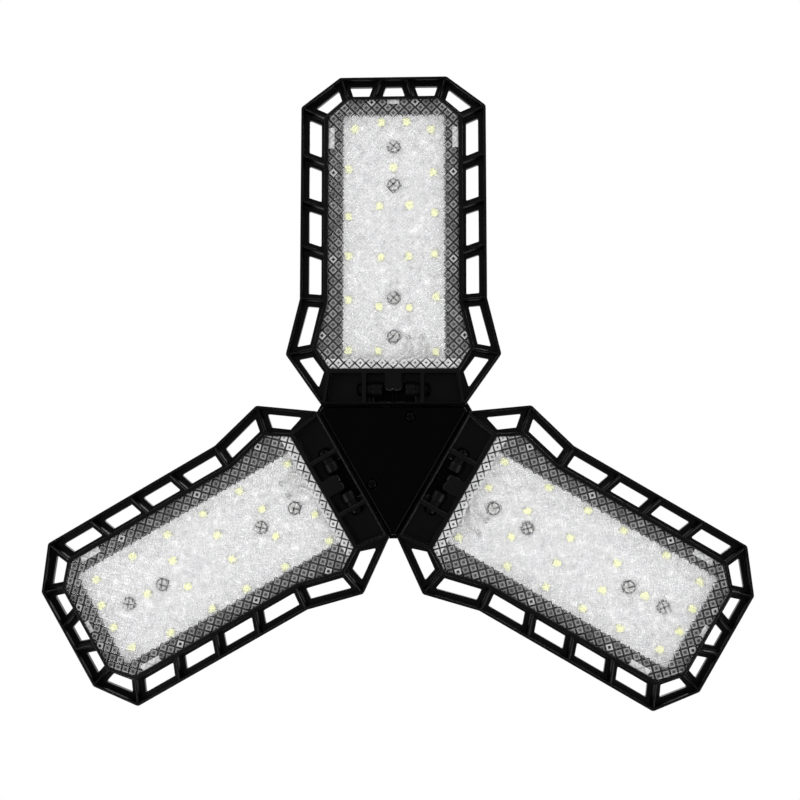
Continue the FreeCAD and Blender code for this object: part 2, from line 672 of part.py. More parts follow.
def hub_body():
    """The cast hub: three walls, a roof, cover posts and three pairs of arms."""
    side = HUB_IN - BODY_INSET
    corner = HUB_CORNER - 2 * BODY_INSET
    shell = hub_prism(side, corner, COVER_THICK, HUB_DEPTH, 0.8)
    hollow = hub_prism(side - HUB_WALL, corner - 2 * HUB_WALL, 0, HUB_DEPTH - HUB_WALL, 0.5)
    roof = hub_prism(ROOF_IN, ROOF_CORNER, ROOF_LOW, HUB_DEPTH, 1.0)
    top = Z_FRONT + HUB_DEPTH
    foot = Part.makeCylinder(NECK_FOOT_R, HUB_FOOT, V(0, 0, top - HUB_FOOT), Z_AXIS)
    pieces = [shell.cut(hollow), roof.cut(hollow), foot]
    posts = []
    pilots = []
    for x, y in COVER_SCREWS:
        at = V(x, y, Z_FRONT + COVER_THICK)
        posts.append(Part.makeCylinder(COVER_POST_R, HUB_DEPTH - COVER_THICK - 1, at, Z_AXIS))
        pilots.append(Part.makeCylinder(SMALL_SHANK_R, 11, at, Z_AXIS))
    limits = hub_prism(side, corner, COVER_THICK, HUB_DEPTH, 0.8)
    pieces += [post.common(limits) for post in posts]
    cuts = pilots
    for angle in LEAF_ANGLES.values():
        arms = [hub_arms()]
        bores = [hinge_rod(-ARM_OUT - 1, ARM_OUT + 1, SCREW_R)]
        port = leaf_box((-PORT_HALF, PORT_HALF), (HUB_IN - 5, ROOF_IN + 1), (PORT_LOW, PORT_HIGH))
        for shape in arms + bores + [port]:
            shape.rotate(V(0, 0, 0), Z_AXIS, angle)
        pieces += arms
        cuts += bores + [port]
    cuts.append(Part.makeCylinder(HUB_MOUTH_R, 6, V(0, 0, top - 4), Z_AXIS))
    for x, y in neck_screw_places():
        cuts.append(Part.makeCylinder(COVER_HOLE_R, 8, V(x, y, top - 5), Z_AXIS))
    return joined(pieces).cut(cuts)


def hub_cover():
    """The triangular front cover, with a bevelled edge and two sunk screw holes."""
    cover = hub_prism(HUB_IN, HUB_CORNER, 0, COVER_THICK, 1.2)
    front = [e for e in cover.Edges if abs(e.BoundBox.ZMax - Z_FRONT) < 0.001]
    cover = cover.makeChamfer(COVER_BEVEL, front)
    cuts = []
    for x, y in COVER_SCREWS:
        cuts.append(Part.makeCylinder(COVER_HOLE_R, 9, V(x, y, Z_FRONT - 1), Z_AXIS))
        cuts.append(Part.makeCylinder(COVER_SINK[0], COVER_SINK[1] + 1, V(x, y, Z_FRONT - 1), Z_AXIS))
    return cover.cut(cuts)


def cover_screws():
    """Two sunk screws through the hub's cover."""
    screws = []
    for x, y in COVER_SCREWS:
        face = V(x, y, Z_FRONT + COVER_HEAD_LOW)
        head = Part.makeCylinder(COVER_HEAD_R, COVER_HEAD_HIGH, face, Z_AXIS)
        start = V(x, y, Z_FRONT + 1)
        shank = Part.makeCylinder(SMALL_SHANK_R, COVER_SHANK_END - 1, start, Z_AXIS)
        recess = cross_recess(face, COVER_HEAD_R, 0.8, True)
        screws.append(head.fuse(shank).cut(recess))
    return Part.makeCompound(screws)


def hub_wires():
    """Two wires of one leaf: from the hinge axis up, over, and into the driver's socket."""
    wires = []
    for side in (-1, 1):
        x = side * PAIR_IN_HUB
        points = [leaf_point(side * PAIR_ON_AXIS, AXIS_OUT, AXIS_DEPTH), leaf_point(x, AXIS_OUT, AXIS_DEPTH),
                  leaf_point(x, AXIS_OUT, HUB_WIRE_LOW), leaf_point(x, HUB_WIRE_TURN, HUB_WIRE_LOW),
                  leaf_point(x, HUB_WIRE_TURN, HUB_WIRE_HIGH), leaf_point(x, SOCKET_IN, HUB_WIRE_HIGH)]
        wires.append(wire_solid(points, HUB_WIRE_BEND))
    return Part.makeCompound(wires)


# ---------------------------------------------------------------- neck and driver

def turned(profile):
    """A solid of revolution about the lamp's axis from (radius, height) points."""
    points = [V(r, 0, z) for r, z in profile]
    return Part.Face(Part.makePolygon(points + points[:1])).revolve(V(0, 0, 0), Z_AXIS, 360)


def neck_screw_places():
    """Three screws join the neck's foot to the hub, above the hub's corners."""
    places = []
    for i in range(3):
        turn = math.radians(90 + 120 * i)
        places.append((NECK_SCREW_REACH * math.cos(turn), NECK_SCREW_REACH * math.sin(turn)))
    return places


def neck_housing():
    """The moulded neck: a vented shell with a collar that carries the cap."""
    low = Z_FRONT + HUB_DEPTH
    w = NECK_WALL
    outside = turned([(0, low), (NECK_FOOT_R, low), (NECK_FOOT_R, low + 3), (NECK_BODY_R, low + 6),
                      (NECK_BODY_R, NECK_SHOULDER), (NECK_COLLAR_R, NECK_COLLAR_LOW),
                      (NECK_COLLAR_R, 0), (0, 0)])
    inside = turned([(0, low - 1), (NECK_BODY_R - w, low - 1), (NECK_BODY_R - w, NECK_SHOULDER - 0.5),
                     (NECK_COLLAR_R - COLLAR_WALL, NECK_COLLAR_LOW), (NECK_COLLAR_R - COLLAR_WALL, 1),
                     (0, 1)])
    shell = outside.cut(inside)
    seat_low, seat_high = NECK_SEAT
    spigot = turned([(SPIGOT_IN_R, seat_high), (CAP_NECK_R, seat_high),
                     (CAP_NECK_R, SPIGOT_TOP), (SPIGOT_IN_R, SPIGOT_TOP)])
    seat = turned([(SPIGOT_IN_R, seat_low), (NECK_COLLAR_R - 1, seat_low),
                   (NECK_COLLAR_R - 1, seat_high), (SPIGOT_IN_R, seat_high)])
    tall = VENT_HIGH - VENT_LOW
    vents = []
    for i in range(VENT_COUNT):
        if i % (VENT_COUNT // 3) == 0:
            continue
        vent = Part.makeBox(6, VENT_WIDE, tall, V(NECK_BODY_R - 4, -VENT_WIDE / 2, VENT_LOW))
        vent.rotate(V(0, 0, 0), Z_AXIS, 90 + 360 * i / VENT_COUNT)
        vents.append(vent)
    screw_posts = []
    pilots = []
    limits = Part.makeCylinder(NECK_BODY_R, 20, V(0, 0, low), Z_AXIS)
    for x, y in neck_screw_places():
        post = Part.makeCylinder(NECK_POST_R, NECK_POST_HIGH, V(x, y, low), Z_AXIS)
        screw_posts.append(post.common(limits))
        pilots.append(Part.makeCylinder(SMALL_SHANK_R, NECK_POST_HIGH - 1, V(x, y, low), Z_AXIS))
    rails = []
    reach = NECK_BODY_R - DRIVER_HALF - 1 + RAIL_OVERLAP
    for x in (DRIVER_HALF - RAIL_OVERLAP, -NECK_BODY_R + 1):
        for y in (DRIVER_THICK / 2 + 0.1, -DRIVER_THICK / 2 - 0.1 - RAIL_THICK):
            rails.append(Part.makeBox(reach, RAIL_THICK, RAIL_HIGH, V(x, y, DRIVER_LOW)))
    return joined([shell, spigot, seat] + screw_posts + rails).cut(vents + pilots)


def neck_screws():
    """Three screws, driven up from inside the hub."""
    low = Z_FRONT + HUB_DEPTH
    screws = []
    for x, y in neck_screw_places():
        face = V(x, y, low - HUB_WALL - NECK_HEAD_HIGH)
        head = Part.makeCylinder(NECK_HEAD_R, NECK_HEAD_HIGH, face, Z_AXIS)
        start = V(x, y, low - HUB_WALL - 0.3)
        shank = Part.makeCylinder(SMALL_SHANK_R, NECK_SCREW_END + HUB_WALL + 0.3, start, Z_AXIS)
        recess = cross_recess(face, NECK_HEAD_R, 0.8, True)
        screws.append(head.fuse(shank).cut(recess))
    return Part.makeCompound(screws)


def driver_board():
    """The upright board of the current driver."""
    corner = V(-DRIVER_HALF, -DRIVER_THICK / 2, DRIVER_LOW)
    return Part.makeBox(2 * DRIVER_HALF, DRIVER_THICK, DRIVER_HIGH - DRIVER_LOW, corner)


def driver_socket():
    """The three-sided block under the board that takes the leaves' wires."""
    corners = [V(x, y, SOCKET_LOW) for x, y in hub_outline(SOCKET_IN, 1.7 * SOCKET_IN)]
    return rounded_face(corners, 0.4).extrude(Z_AXIS * (DRIVER_LOW - SOCKET_LOW))


def driver_capacitor():
    """The smoothing capacitor: a can with a rolled groove."""
    ring_r, section_r, height = CAN_GROOVE
    can = Part.makeCylinder(CAN_R, CAN_HIGH, V(*CAN_AT), Z_AXIS)
    groove = Part.makeTorus(ring_r, section_r, V(*CAN_AT) + Z_AXIS * height, Z_AXIS)
    return can.cut(groove)


def driver_transformer():
    """The choke: two flanges and a winding on one core."""
    at = V(*CHOKE_AT)
    along = V(0, 1, 0)
    low = Part.makeCylinder(CHOKE_R, CHOKE_FLANGE, at, along)
    winding = Part.makeCylinder(CHOKE_WINDING_R, CHOKE_WINDING, at + along * CHOKE_FLANGE, along)
    high = Part.makeCylinder(CHOKE_R, CHOKE_FLANGE, at + along * (CHOKE_FLANGE + CHOKE_WINDING), along)
    return joined([low, winding, high])


def driver_chips():
    """Bridge rectifier and control chip on the board's other face."""
    return Part.makeCompound([Part.makeBox(*size, V(*corner)) for size, corner in (BRIDGE_CHIP, CONTROL_CHIP)])


def fuse_resistor():
    """The fusible resistor in the line lead."""
    radius, length, at = FUSE
    return Part.makeCylinder(radius, length, V(*at), Z_AXIS)


def mains_leads():
    """Two leads from the board up to the cap's shell and centre contact."""
    lines = [[V(*point) for point in line] for line in (LEAD_TO_SHELL, LEAD_TO_CONTACT)]
    return Part.makeCompound([wire_solid(points, MAINS_BEND) for points in lines])


# ---------------------------------------------------------------- screw cap

def thread_body(mean, low, turns):
    """A round section that circles the axis as it climbs: a rolled thread, as a ruled loft."""
    count = round(turns * THREAD_STEPS)
    rings = []
    for i in range(count + 1):
        turn = 2 * math.pi * i / THREAD_STEPS
        height = low + THREAD_PITCH * i / THREAD_STEPS
        centre = V(THREAD_SWING * math.cos(turn), THREAD_SWING * math.sin(turn), height)
        rings.append(Part.Wire(Part.Circle(centre, Z_AXIS, mean).toShape()))
    return Part.makeLoft(rings, True, True)


def screw_shell():
    """The thin metal shell of the cap: skirt, rolled thread and shoulder."""
    low = CAP_SKIRT_HIGH
    high = low + THREAD_PITCH * THREAD_TURNS
    inner_r = THREAD_MEAN_R - CAP_WALL
    skirt = turned([(0, 0), (CAP_SKIRT_R, 0), (CAP_SKIRT_R, low), (0, low)])
    thread = thread_body(THREAD_MEAN_R, low, THREAD_TURNS)
    lid = turned([(0, high), (THREAD_MEAN_R, high), (CAP_NECK_R - 1.5, CAP_TOP), (0, CAP_TOP)])
    outside = joined([skirt, thread, lid])
    skirt_in = turned([(0, -1), (CAP_SKIRT_R - CAP_WALL, -1), (CAP_SKIRT_R - CAP_WALL, low), (0, low)])
    thread_in = thread_body(inner_r, low, THREAD_TURNS)
    lid_in = turned([(0, high), (inner_r - 0.3, high), (INSULATOR_R, CAP_TOP - 0.5),
                     (INSULATOR_R, CAP_TOP + 1), (0, CAP_TOP + 1)])
    return outside.cut(skirt_in).cut(thread_in).cut(lid_in)


def cap_insulator():
    """The insulator that holds the centre contact in the end of the shell."""
    high = CAP_TOP + INSULATOR_HIGH
    return turned([(CONTACT_STEM_R + 0.1, CAP_TOP - 2.6), (INSULATOR_R - 1, CAP_TOP - 2.6),
                   (INSULATOR_R, CAP_TOP - 0.5), (INSULATOR_R, CAP_TOP + 0.4),
                   (CONTACT_R + 0.8, high), (CONTACT_STEM_R + 0.1, high)])


def centre_contact():
    """The domed metal contact at the very top."""
    low = CAP_TOP + INSULATOR_HIGH
    dome = turned([(0, low), (CONTACT_R, low), (CONTACT_R, low + 0.7), (3.2, CONTACT_TOP), (0, CONTACT_TOP)])
    stem = Part.makeCylinder(CONTACT_STEM_R, 2.0, V(0, 0, low - 1.2), Z_AXIS)
    return dome.fuse(stem)


# ---------------------------------------------------------------- the whole lamp

def build():
    """Model and write every sub-part."""
    save_leaf("leaf_frame", leaf_frame())
    save_leaf("lens", lens())
    save_leaf("led_board", led_board())
    save_leaf("leds", leds())
    save_leaf("heat_sink", heat_sink())
    save_leaf("board_screws", board_screws())
    save_leaf("sink_screws", sink_screws())
    save_leaf("leaf_wires", leaf_wires())
    save_leaf("hinge_screws", hinge_screws())
    save_leaf("hinge_washers", hinge_washers())
    save_leaf("hub_wires", hub_wires())
    save("hub_body", hub_body())
    save("hub_cover", hub_cover())
    save("cover_screws", cover_screws())
    save("neck_housing", neck_housing())
    save("neck_screws", neck_screws())
    save("driver_board", driver_board())
    save("driver_socket", driver_socket())
    save("driver_capacitor", driver_capacitor())
    save("driver_transformer", driver_transformer())
    save("driver_chips", driver_chips())
    save("fuse_resistor", fuse_resistor())
    save("mains_leads", mains_leads())
    save("screw_shell", screw_shell())
    save("cap_insulator", cap_insulator())
    save("centre_contact", centre_contact())


build()
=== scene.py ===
import math

import bmesh
import bpy
from mathutils import Matrix, Vector
from mathutils.bvhtree import BVHTree


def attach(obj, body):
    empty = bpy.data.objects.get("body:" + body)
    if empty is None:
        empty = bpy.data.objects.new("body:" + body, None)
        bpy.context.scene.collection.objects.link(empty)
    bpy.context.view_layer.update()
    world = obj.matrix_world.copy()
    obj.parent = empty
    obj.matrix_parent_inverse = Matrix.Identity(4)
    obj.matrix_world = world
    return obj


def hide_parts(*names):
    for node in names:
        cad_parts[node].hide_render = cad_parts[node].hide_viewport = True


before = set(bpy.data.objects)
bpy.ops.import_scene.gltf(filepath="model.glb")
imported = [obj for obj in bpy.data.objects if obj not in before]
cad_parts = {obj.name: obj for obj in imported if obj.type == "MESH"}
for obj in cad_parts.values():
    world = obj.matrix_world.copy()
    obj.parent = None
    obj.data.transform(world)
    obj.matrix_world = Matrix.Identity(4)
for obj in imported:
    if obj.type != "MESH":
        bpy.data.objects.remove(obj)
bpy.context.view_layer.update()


# ======================================================================== leaf frames
# Each lamp leaf is carried by one injection moulding in black, glass-filled nylon: a deep rim
# round the lens, a ledge, an open border with drafted ribs and a boxed hinge end. The mould
# leaves small edge radii and a fine grain, with a slight flow pattern between the ribs.

MM = 0.001
LEAF_TURNS = {"a": 0.0, "b": 120.0, "c": 240.0}
WELD = 0.003 * MM                       # CAD triangles closer than this share a corner
SHARP = math.radians(30)                # edges that bend by more than this are rounded
PROUD = 0.01 * MM                       # a rounded edge never stands this far out of the CAD form
STRAY = 0.4                             # nor this share of its width away from the form's faces
NYLON_EDGE = 0.24 * MM
NYLON_BLACK = (0.0008, 0.0008, 0.0009, 1)
NYLON_FLOW = (0.0022, 0.0022, 0.0024, 1)
NYLON_GLOSS = 0.20
PLASTIC_SHINE = 0.26                    # specular level of the black plastics in front
FLOW_STRETCH = (1.0, 0.35, 1.0)         # plastic flows in long tongues


class Wire:
    """A node's socket. Sums and products of wires add the Math nodes that work them out."""

    def __init__(self, tree, socket=None):
        self.tree = tree
        self.socket = socket

    def node(self, kind, settings=None, values=None, out=0):
        """Adds a node: its settings first, then each socket's value, wire or list of wires."""
        made = self.tree.nodes.new(kind)
        for name, value in (settings or {}).items():
            if name == "stops":
                ramp = made.color_ramp
                while len(ramp.elements) < len(value):
                    ramp.elements.new(1.0)
                for stop, (position, colour) in zip(ramp.elements, value):
                    stop.position = position
                    stop.color = colour
            else:
                setattr(made, name, value)
        for name, value in (values or {}).items():
            for item in value if isinstance(value, list) else [value]:
                if isinstance(item, Wire):
                    self.tree.links.new(item.socket, made.inputs[name])
                else:
                    made.inputs[name].default_value = item
        return Wire(self.tree, made.outputs[out] if made.outputs else None)

    def maths(self, operation, *terms):
        return self.node("ShaderNodeMath", {"operation": operation}, dict(enumerate(terms)))

    def __add__(self, other):
        return self.maths("ADD", self, other)

    def __sub__(self, other):
        return self.maths("SUBTRACT", self, other)

    def __rsub__(self, other):
        return self.maths("SUBTRACT", other, self)

    def __mul__(self, other):
        return self.maths("MULTIPLY", self, other)

    def __truediv__(self, other):
        return self.maths("DIVIDE", self, other)

    def __abs__(self):
        return self.maths("ABSOLUTE", self)

    def __lt__(self, other):
        return self.maths("LESS_THAN", self, other)

    def __gt__(self, other):
        return self.maths("GREATER_THAN", self, other)

    __radd__ = __add__
    __rmul__ = __mul__


def blended(factor, low, high):
    """One colour running into another."""
    return factor.node("ShaderNodeMix", {"data_type": "RGBA"}, {0: factor, 6: low, 7: high}, out=2)


def noise(paint, waves, detail=2.0, stretch=None):
    """Noise on the piece's own coordinates, so many waves to the metre."""
    spot = paint.node("ShaderNodeTexCoord", out="Object")
    if stretch:
        spot = paint.node("ShaderNodeMapping", values={"Vector": spot, "Scale": stretch})
    return paint.node("ShaderNodeTexNoise", values={"Vector": spot, "Scale": waves, "Detail": detail})


def relief(paint, height, strength, depth):
    """A bump up to that depth in metres."""
    return paint.node("ShaderNodeBump", values={"Strength": strength, "Distance": depth, "Height": height})


def principled(paint, **values):
    """The surface shader; underscores in names stand for spaces."""
    named = {name.replace("_", " "): value for name, value in values.items()}
    return paint.node("ShaderNodeBsdfPrincipled", values=named)


def material_of(name, surface):
    """A material whose surface is what surface(paint) gives back."""
    made = bpy.data.materials.new(name)
    made.use_nodes = True
    made.node_tree.nodes.clear()
    paint = Wire(made.node_tree)
    paint.node("ShaderNodeOutputMaterial", values={"Surface": surface(paint)})
    return made


def grained_plastic(dark, light, gloss, shine=PLASTIC_SHINE):
    """Moulded plastic: flow pattern in the colour and the gloss, fine grain in the skin."""
    def surface(paint):
        flow = noise(paint, waves=42.0, detail=4.0, stretch=FLOW_STRETCH)
        grain = noise(paint, waves=3200.0, detail=3.0)
        return principled(
            paint, Base_Color=blended(flow, dark, light), Roughness=gloss + 0.16 * flow + 0.06 * grain,
            Specular_IOR_Level=shine, Normal=relief(paint, grain, strength=0.16, depth=0.08 * MM))
    return surface


def mesh_of(form, name, *materials):
    """Turns a bmesh into a mesh with these materials."""
    mesh = bpy.data.meshes.new(name)
    form.to_mesh(mesh)
    form.free()
    for material in materials:
        mesh.materials.append(material)
    return mesh


def in_scene(name, data):
    """An object in the scene that holds this mesh, light or camera."""
    made = bpy.data.objects.new(name, data)
    bpy.context.scene.collection.objects.link(made)
    return made


def softened(node, edge):
    """A copy of a CAD mesh in one skin, with its sharp edges rounded inside the CAD form."""
    form = bmesh.new()
    form.from_mesh(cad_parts[node].data)
    bmesh.ops.remove_doubles(form, verts=form.verts, dist=WELD)
    bmesh.ops.dissolve_degenerate(form, dist=WELD, edges=form.edges)
    skin = BVHTree.FromBMesh(form)
    for face in form.faces:
        face.smooth = True
    mesh = mesh_of(form, node)
    mesh.materials.clear()
    if not edge:
        return mesh
    holder = in_scene(node + "_form", mesh)
    low, high = Vector(holder.bound_box[0]), Vector(holder.bound_box[6])
    rounding = holder.modifiers.new("edges", "BEVEL")
    rounding.width = edge
    rounding.segments = 2
    rounding.limit_method = "ANGLE"
    rounding.angle_limit = SHARP
    rounding.use_clamp_overlap = False
    rounded = plain_mesh(holder)
    for vertex in rounded.vertices:
        near, normal, _, distance = skin.find_nearest(vertex.co)
        if distance > STRAY * edge or (vertex.co - near).dot(normal) > PROUD:
            vertex.co = near
        vertex.co = [min(max(value, least), most) for value, least, most in zip(vertex.co, low, high)]
    holder = in_scene(node + "_shade", rounded)
    holder.modifiers.new("shading", "WEIGHTED_NORMAL").keep_sharp = True
    return plain_mesh(holder)


def plain_mesh(holder):
    """The mesh that an object's modifiers make, with the object and its modifiers removed."""
    bpy.context.view_layer.update()
    evaluated = holder.evaluated_get(bpy.context.evaluated_depsgraph_get())
    mesh = bpy.data.meshes.new_from_object(evaluated)
    bpy.data.objects.remove(holder)
    return mesh


def place(name, mesh, body, slot, stands_for, *materials):
    """Puts a finished mesh in the scene as a piece that rides on a body."""
    for material in materials:
        mesh.materials.append(material)
    piece = in_scene(name, mesh)
    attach(piece, body)
    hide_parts(*stands_for)


def place_on_leaves(name, mesh, slot, node, *materials, hub=False):
    """Puts a mesh made for leaf a on all three leaves; its UV map holds places across and out."""
    for material in materials:
        mesh.materials.append(material)
    leaf_map = mesh.uv_layers.new(name="leaf")
    for loop in mesh.loops:
        across, inward, _ = mesh.vertices[loop.vertex_index].co
        leaf_map.data[loop.index].uv = (across, -inward)
    for leaf, turn in LEAF_TURNS.items():
        turned = mesh.copy()
        turned.transform(Matrix.Rotation(math.radians(turn), 4, "Z"))
        body = "hub" if hub else "leaf_" + leaf
        place(name + "_" + leaf, turned, body, slot, [node + "_" + leaf])


place_on_leaves("border_frame", softened("leaf_frame_a", NYLON_EDGE), "frame_black", "leaf_frame",
                material_of("black_nylon", grained_plastic(NYLON_BLACK, NYLON_FLOW, NYLON_GLOSS)))


# ======================================================================== lenses
# A clear polystyrene cover snaps into each frame. Its front is moulded with a field of flat
# pyramids on a 45 degree lattice, cut apart by V-grooves; the flats are a little milky, and
# two side patches and one at the tip are left plain where its hooks and gate are.

FRONT = -72.0 * MM                      # plane of the leaves' front rims
LENS_FRONT = FRONT + 1.0 * MM
SHAVING = 0.004 * MM                    # the flats lie this far inside the moulding, for a clean cut
SLAB_HIGH = 9.0 * MM                    # of the carving tool, which reaches over the lens's hooks
PYRAMID_PITCH = 4.64 * MM               # from point to point; a side is this over root two
GROOVE_WIDTH = 0.62 * MM
GROOVE_DEPTH = 0.08 * MM
LATTICE_CELLS = 42
FIRST_CROSSING = 48.8 * MM              # two grooves cross here, out along the leaf's middle
LATTICE_MIDDLE = FIRST_CROSSING + 10 * PYRAMID_PITCH
ROOT_HALF = math.sqrt(0.5)
FLAT_SHARE = 1 - GROOVE_WIDTH / PYRAMID_PITCH / ROOT_HALF       # of a pyramid's side
MILK_ACROSS_FLAT = [(0.0, 0.01), (0.2, 0.03), (0.4, 0.13), (0.6, 0.26), (FLAT_SHARE - 0.10, 0.22),
                    (FLAT_SHARE - 0.03, 0.0)]   # share of the way to the groove, milkiness
MILK_LEAST, MILK_BY_CELL, MILK_BY_CLOUD = 0.4, 1.1, 0.7         # how much it varies, and with what
MILK_SKIN = 0.03 * MM                   # only the front of the lens is milky
CLEAR_TIP = 0.1                         # half width of a pyramid's clear middle, in cells
RING_START = 0.17                       # and of the ring's inside over a stud
RING_MILK, RING_CLEARS = 0.42, 0.1
PLAIN_PATCHES = [(26.4, 133.3, 1.3, 4.4), (0.0, 149.0, 2.6, 1.2)]   # across, out, half sizes
STUDS = [(9.3, 148.4), (25.6, 118.7), (25.6, 81.4), (30.3, 48.8), (14.0, 37.2)]
STRIP_END = 0.6                         # a strip stops this far before its edge's ends
# The strips below are painted highlights along the lens's edges, drawn as milkiness.
PAINTED_HIGHLIGHT_STRIPS = [                         # edge from, edge to, strip's reach inwards, milkiness
    ((24.5, 34.7), (0.0, 34.7), 0.2, 0.95, 0.75), ((27.0, 34.7), (32.7, 43.6), -0.9, -0.3, 0.3),
    ((18.9, 149.7), (27.7, 142.0), 0.3, 0.8, 0.35)]
PAINTED_LIGHT_END = 38.9                         # the board ends here; the pyramid flats inwards of it get extra milk, painted light from the board's edge


def new_tree(name, inputs):
    """An empty geometry tree with named inputs, and those inputs as wires."""
    tree = bpy.data.node_groups.new(name, "GeometryNodeTree")
    tree.interface.new_socket("Geometry", in_out="INPUT", socket_type="NodeSocketGeometry")
    tree.interface.new_socket("Geometry", in_out="OUTPUT", socket_type="NodeSocketGeometry")
    for label, kind in inputs.items():
        tree.interface.new_socket(label, in_out="INPUT", socket_type="NodeSocket" + kind)
    entry = tree.nodes.new("NodeGroupInput")
    return tree, {socket.name: Wire(tree, socket) for socket in entry.outputs if socket.name}


def close_tree(geometry):
    """Ends a geometry tree: instances become real, and the result goes out."""
    real = geometry.node("GeometryNodeRealizeInstances", values={"Geometry": geometry})
    real.node("NodeGroupOutput", values={"Geometry": real})


def in_material(geometry, material):
    """The geometry with its material set."""
    return geometry.node("GeometryNodeSetMaterial", values={"Geometry": geometry, "Material": material})


def vector_of(work, x, y, z):
    """A vector from three wires or numbers."""
    return work.node("ShaderNodeCombineXYZ", values={"X": x, "Y": y, "Z": z})


def axis_of(vector, name):
    """One of a vector's three numbers."""
    return vector.node("ShaderNodeSeparateXYZ", values={"Vector": vector}, out=name)


def grown(tree, start, sizes):
    """Runs a geometry tree on a starting mesh with these inputs, and gives back a plain mesh."""
    holder = in_scene(tree.name + "_start", start)
    growth = holder.modifiers.new("growth", "NODES")
    growth.node_group = tree
    sockets = {item.name: item.identifier for item in tree.interface.items_tree if item.in_out == "INPUT"}
    for label, value in sizes.items():
        growth[sockets[label]] = value
    return plain_mesh(holder)


def pyramid_field():
    """The tree that carves the pyramids into the front of the lens it is given."""
    tree, given = new_tree("pyramid_field", {
        "Cells": "Int", "Side": "Float", "Groove Width": "Float", "Groove Depth": "Float",
        "Front": "Float", "Thickness": "Float", "Material": "Material"})
    work = Wire(tree)
    # Each cell has three steps: the groove's bottom, the flat's near edge and its far edge.
    steps = given["Cells"] * 3
    slab = work.node(
        "GeometryNodeMeshCube",
        values={"Size": vector_of(work, steps, steps, 1.0), "Vertices X": steps + 1, "Vertices Y": steps + 1,
                "Vertices Z": 2})
    spot = work.node("GeometryNodeInputPosition")
    along = {}
    in_groove = {}
    for name in ("X", "Y"):
        step = axis_of(spot, name) + steps / 2
        cell = work.maths("FLOOR", (step + 0.1) / 3)
        part = step - cell * 3
        half = given["Groove Width"] / 2
        near = (part > 0.5) * (part < 1.5) * half
        far = (part > 1.5) * (given["Side"] - half)
        along[name] = (cell - given["Cells"] / 2) * given["Side"] + near + far
        in_groove[name] = part < 0.5
    x = (along["X"] - along["Y"]) * ROOT_HALF
    y = (along["X"] + along["Y"]) * ROOT_HALF - LATTICE_MIDDLE
    lowered = work.maths("MAXIMUM", in_groove["X"], in_groove["Y"])
    for across, out, half_across, half_out in PLAIN_PATCHES:
        from_side = abs(abs(x) - across * MM)
        from_out = abs(y + out * MM)
        inside = (from_side < half_across * MM) * (from_out < half_out * MM)
        lowered = lowered * (1 - inside)
    is_back = axis_of(spot, "Z") > 0
    z = given["Front"] + (1 - is_back) * lowered * given["Groove Depth"] + is_back * given["Thickness"]
    mould = work.node("GeometryNodeSetPosition", values={
        "Geometry": slab, "Position": vector_of(work, x, y, z)})
    carved = work.node(
        "GeometryNodeMeshBoolean", {"operation": "INTERSECT", "solver": "EXACT"},
        {"Mesh 2": [mould, given["Geometry"]]})
    close_tree(in_material(carved, given["Material"]))
    return tree


def on_leaf(paint):
    """The place on the leaf from its UV map: across and out, as wires."""
    spot = paint.node("ShaderNodeUVMap", {"uv_map": "leaf"})
    return axis_of(spot, "X"), axis_of(spot, "Y")


def ranging(factor, low, high):
    """A number that runs from low to high."""
    return low + (high - low) * factor


def in_cells(across, out):
    """A place on the leaf, in metres, as numbers of cells along the two ways of the lattice."""
    return (across + out - FIRST_CROSSING) / PYRAMID_PITCH, (across - out + FIRST_CROSSING) / PYRAMID_PITCH


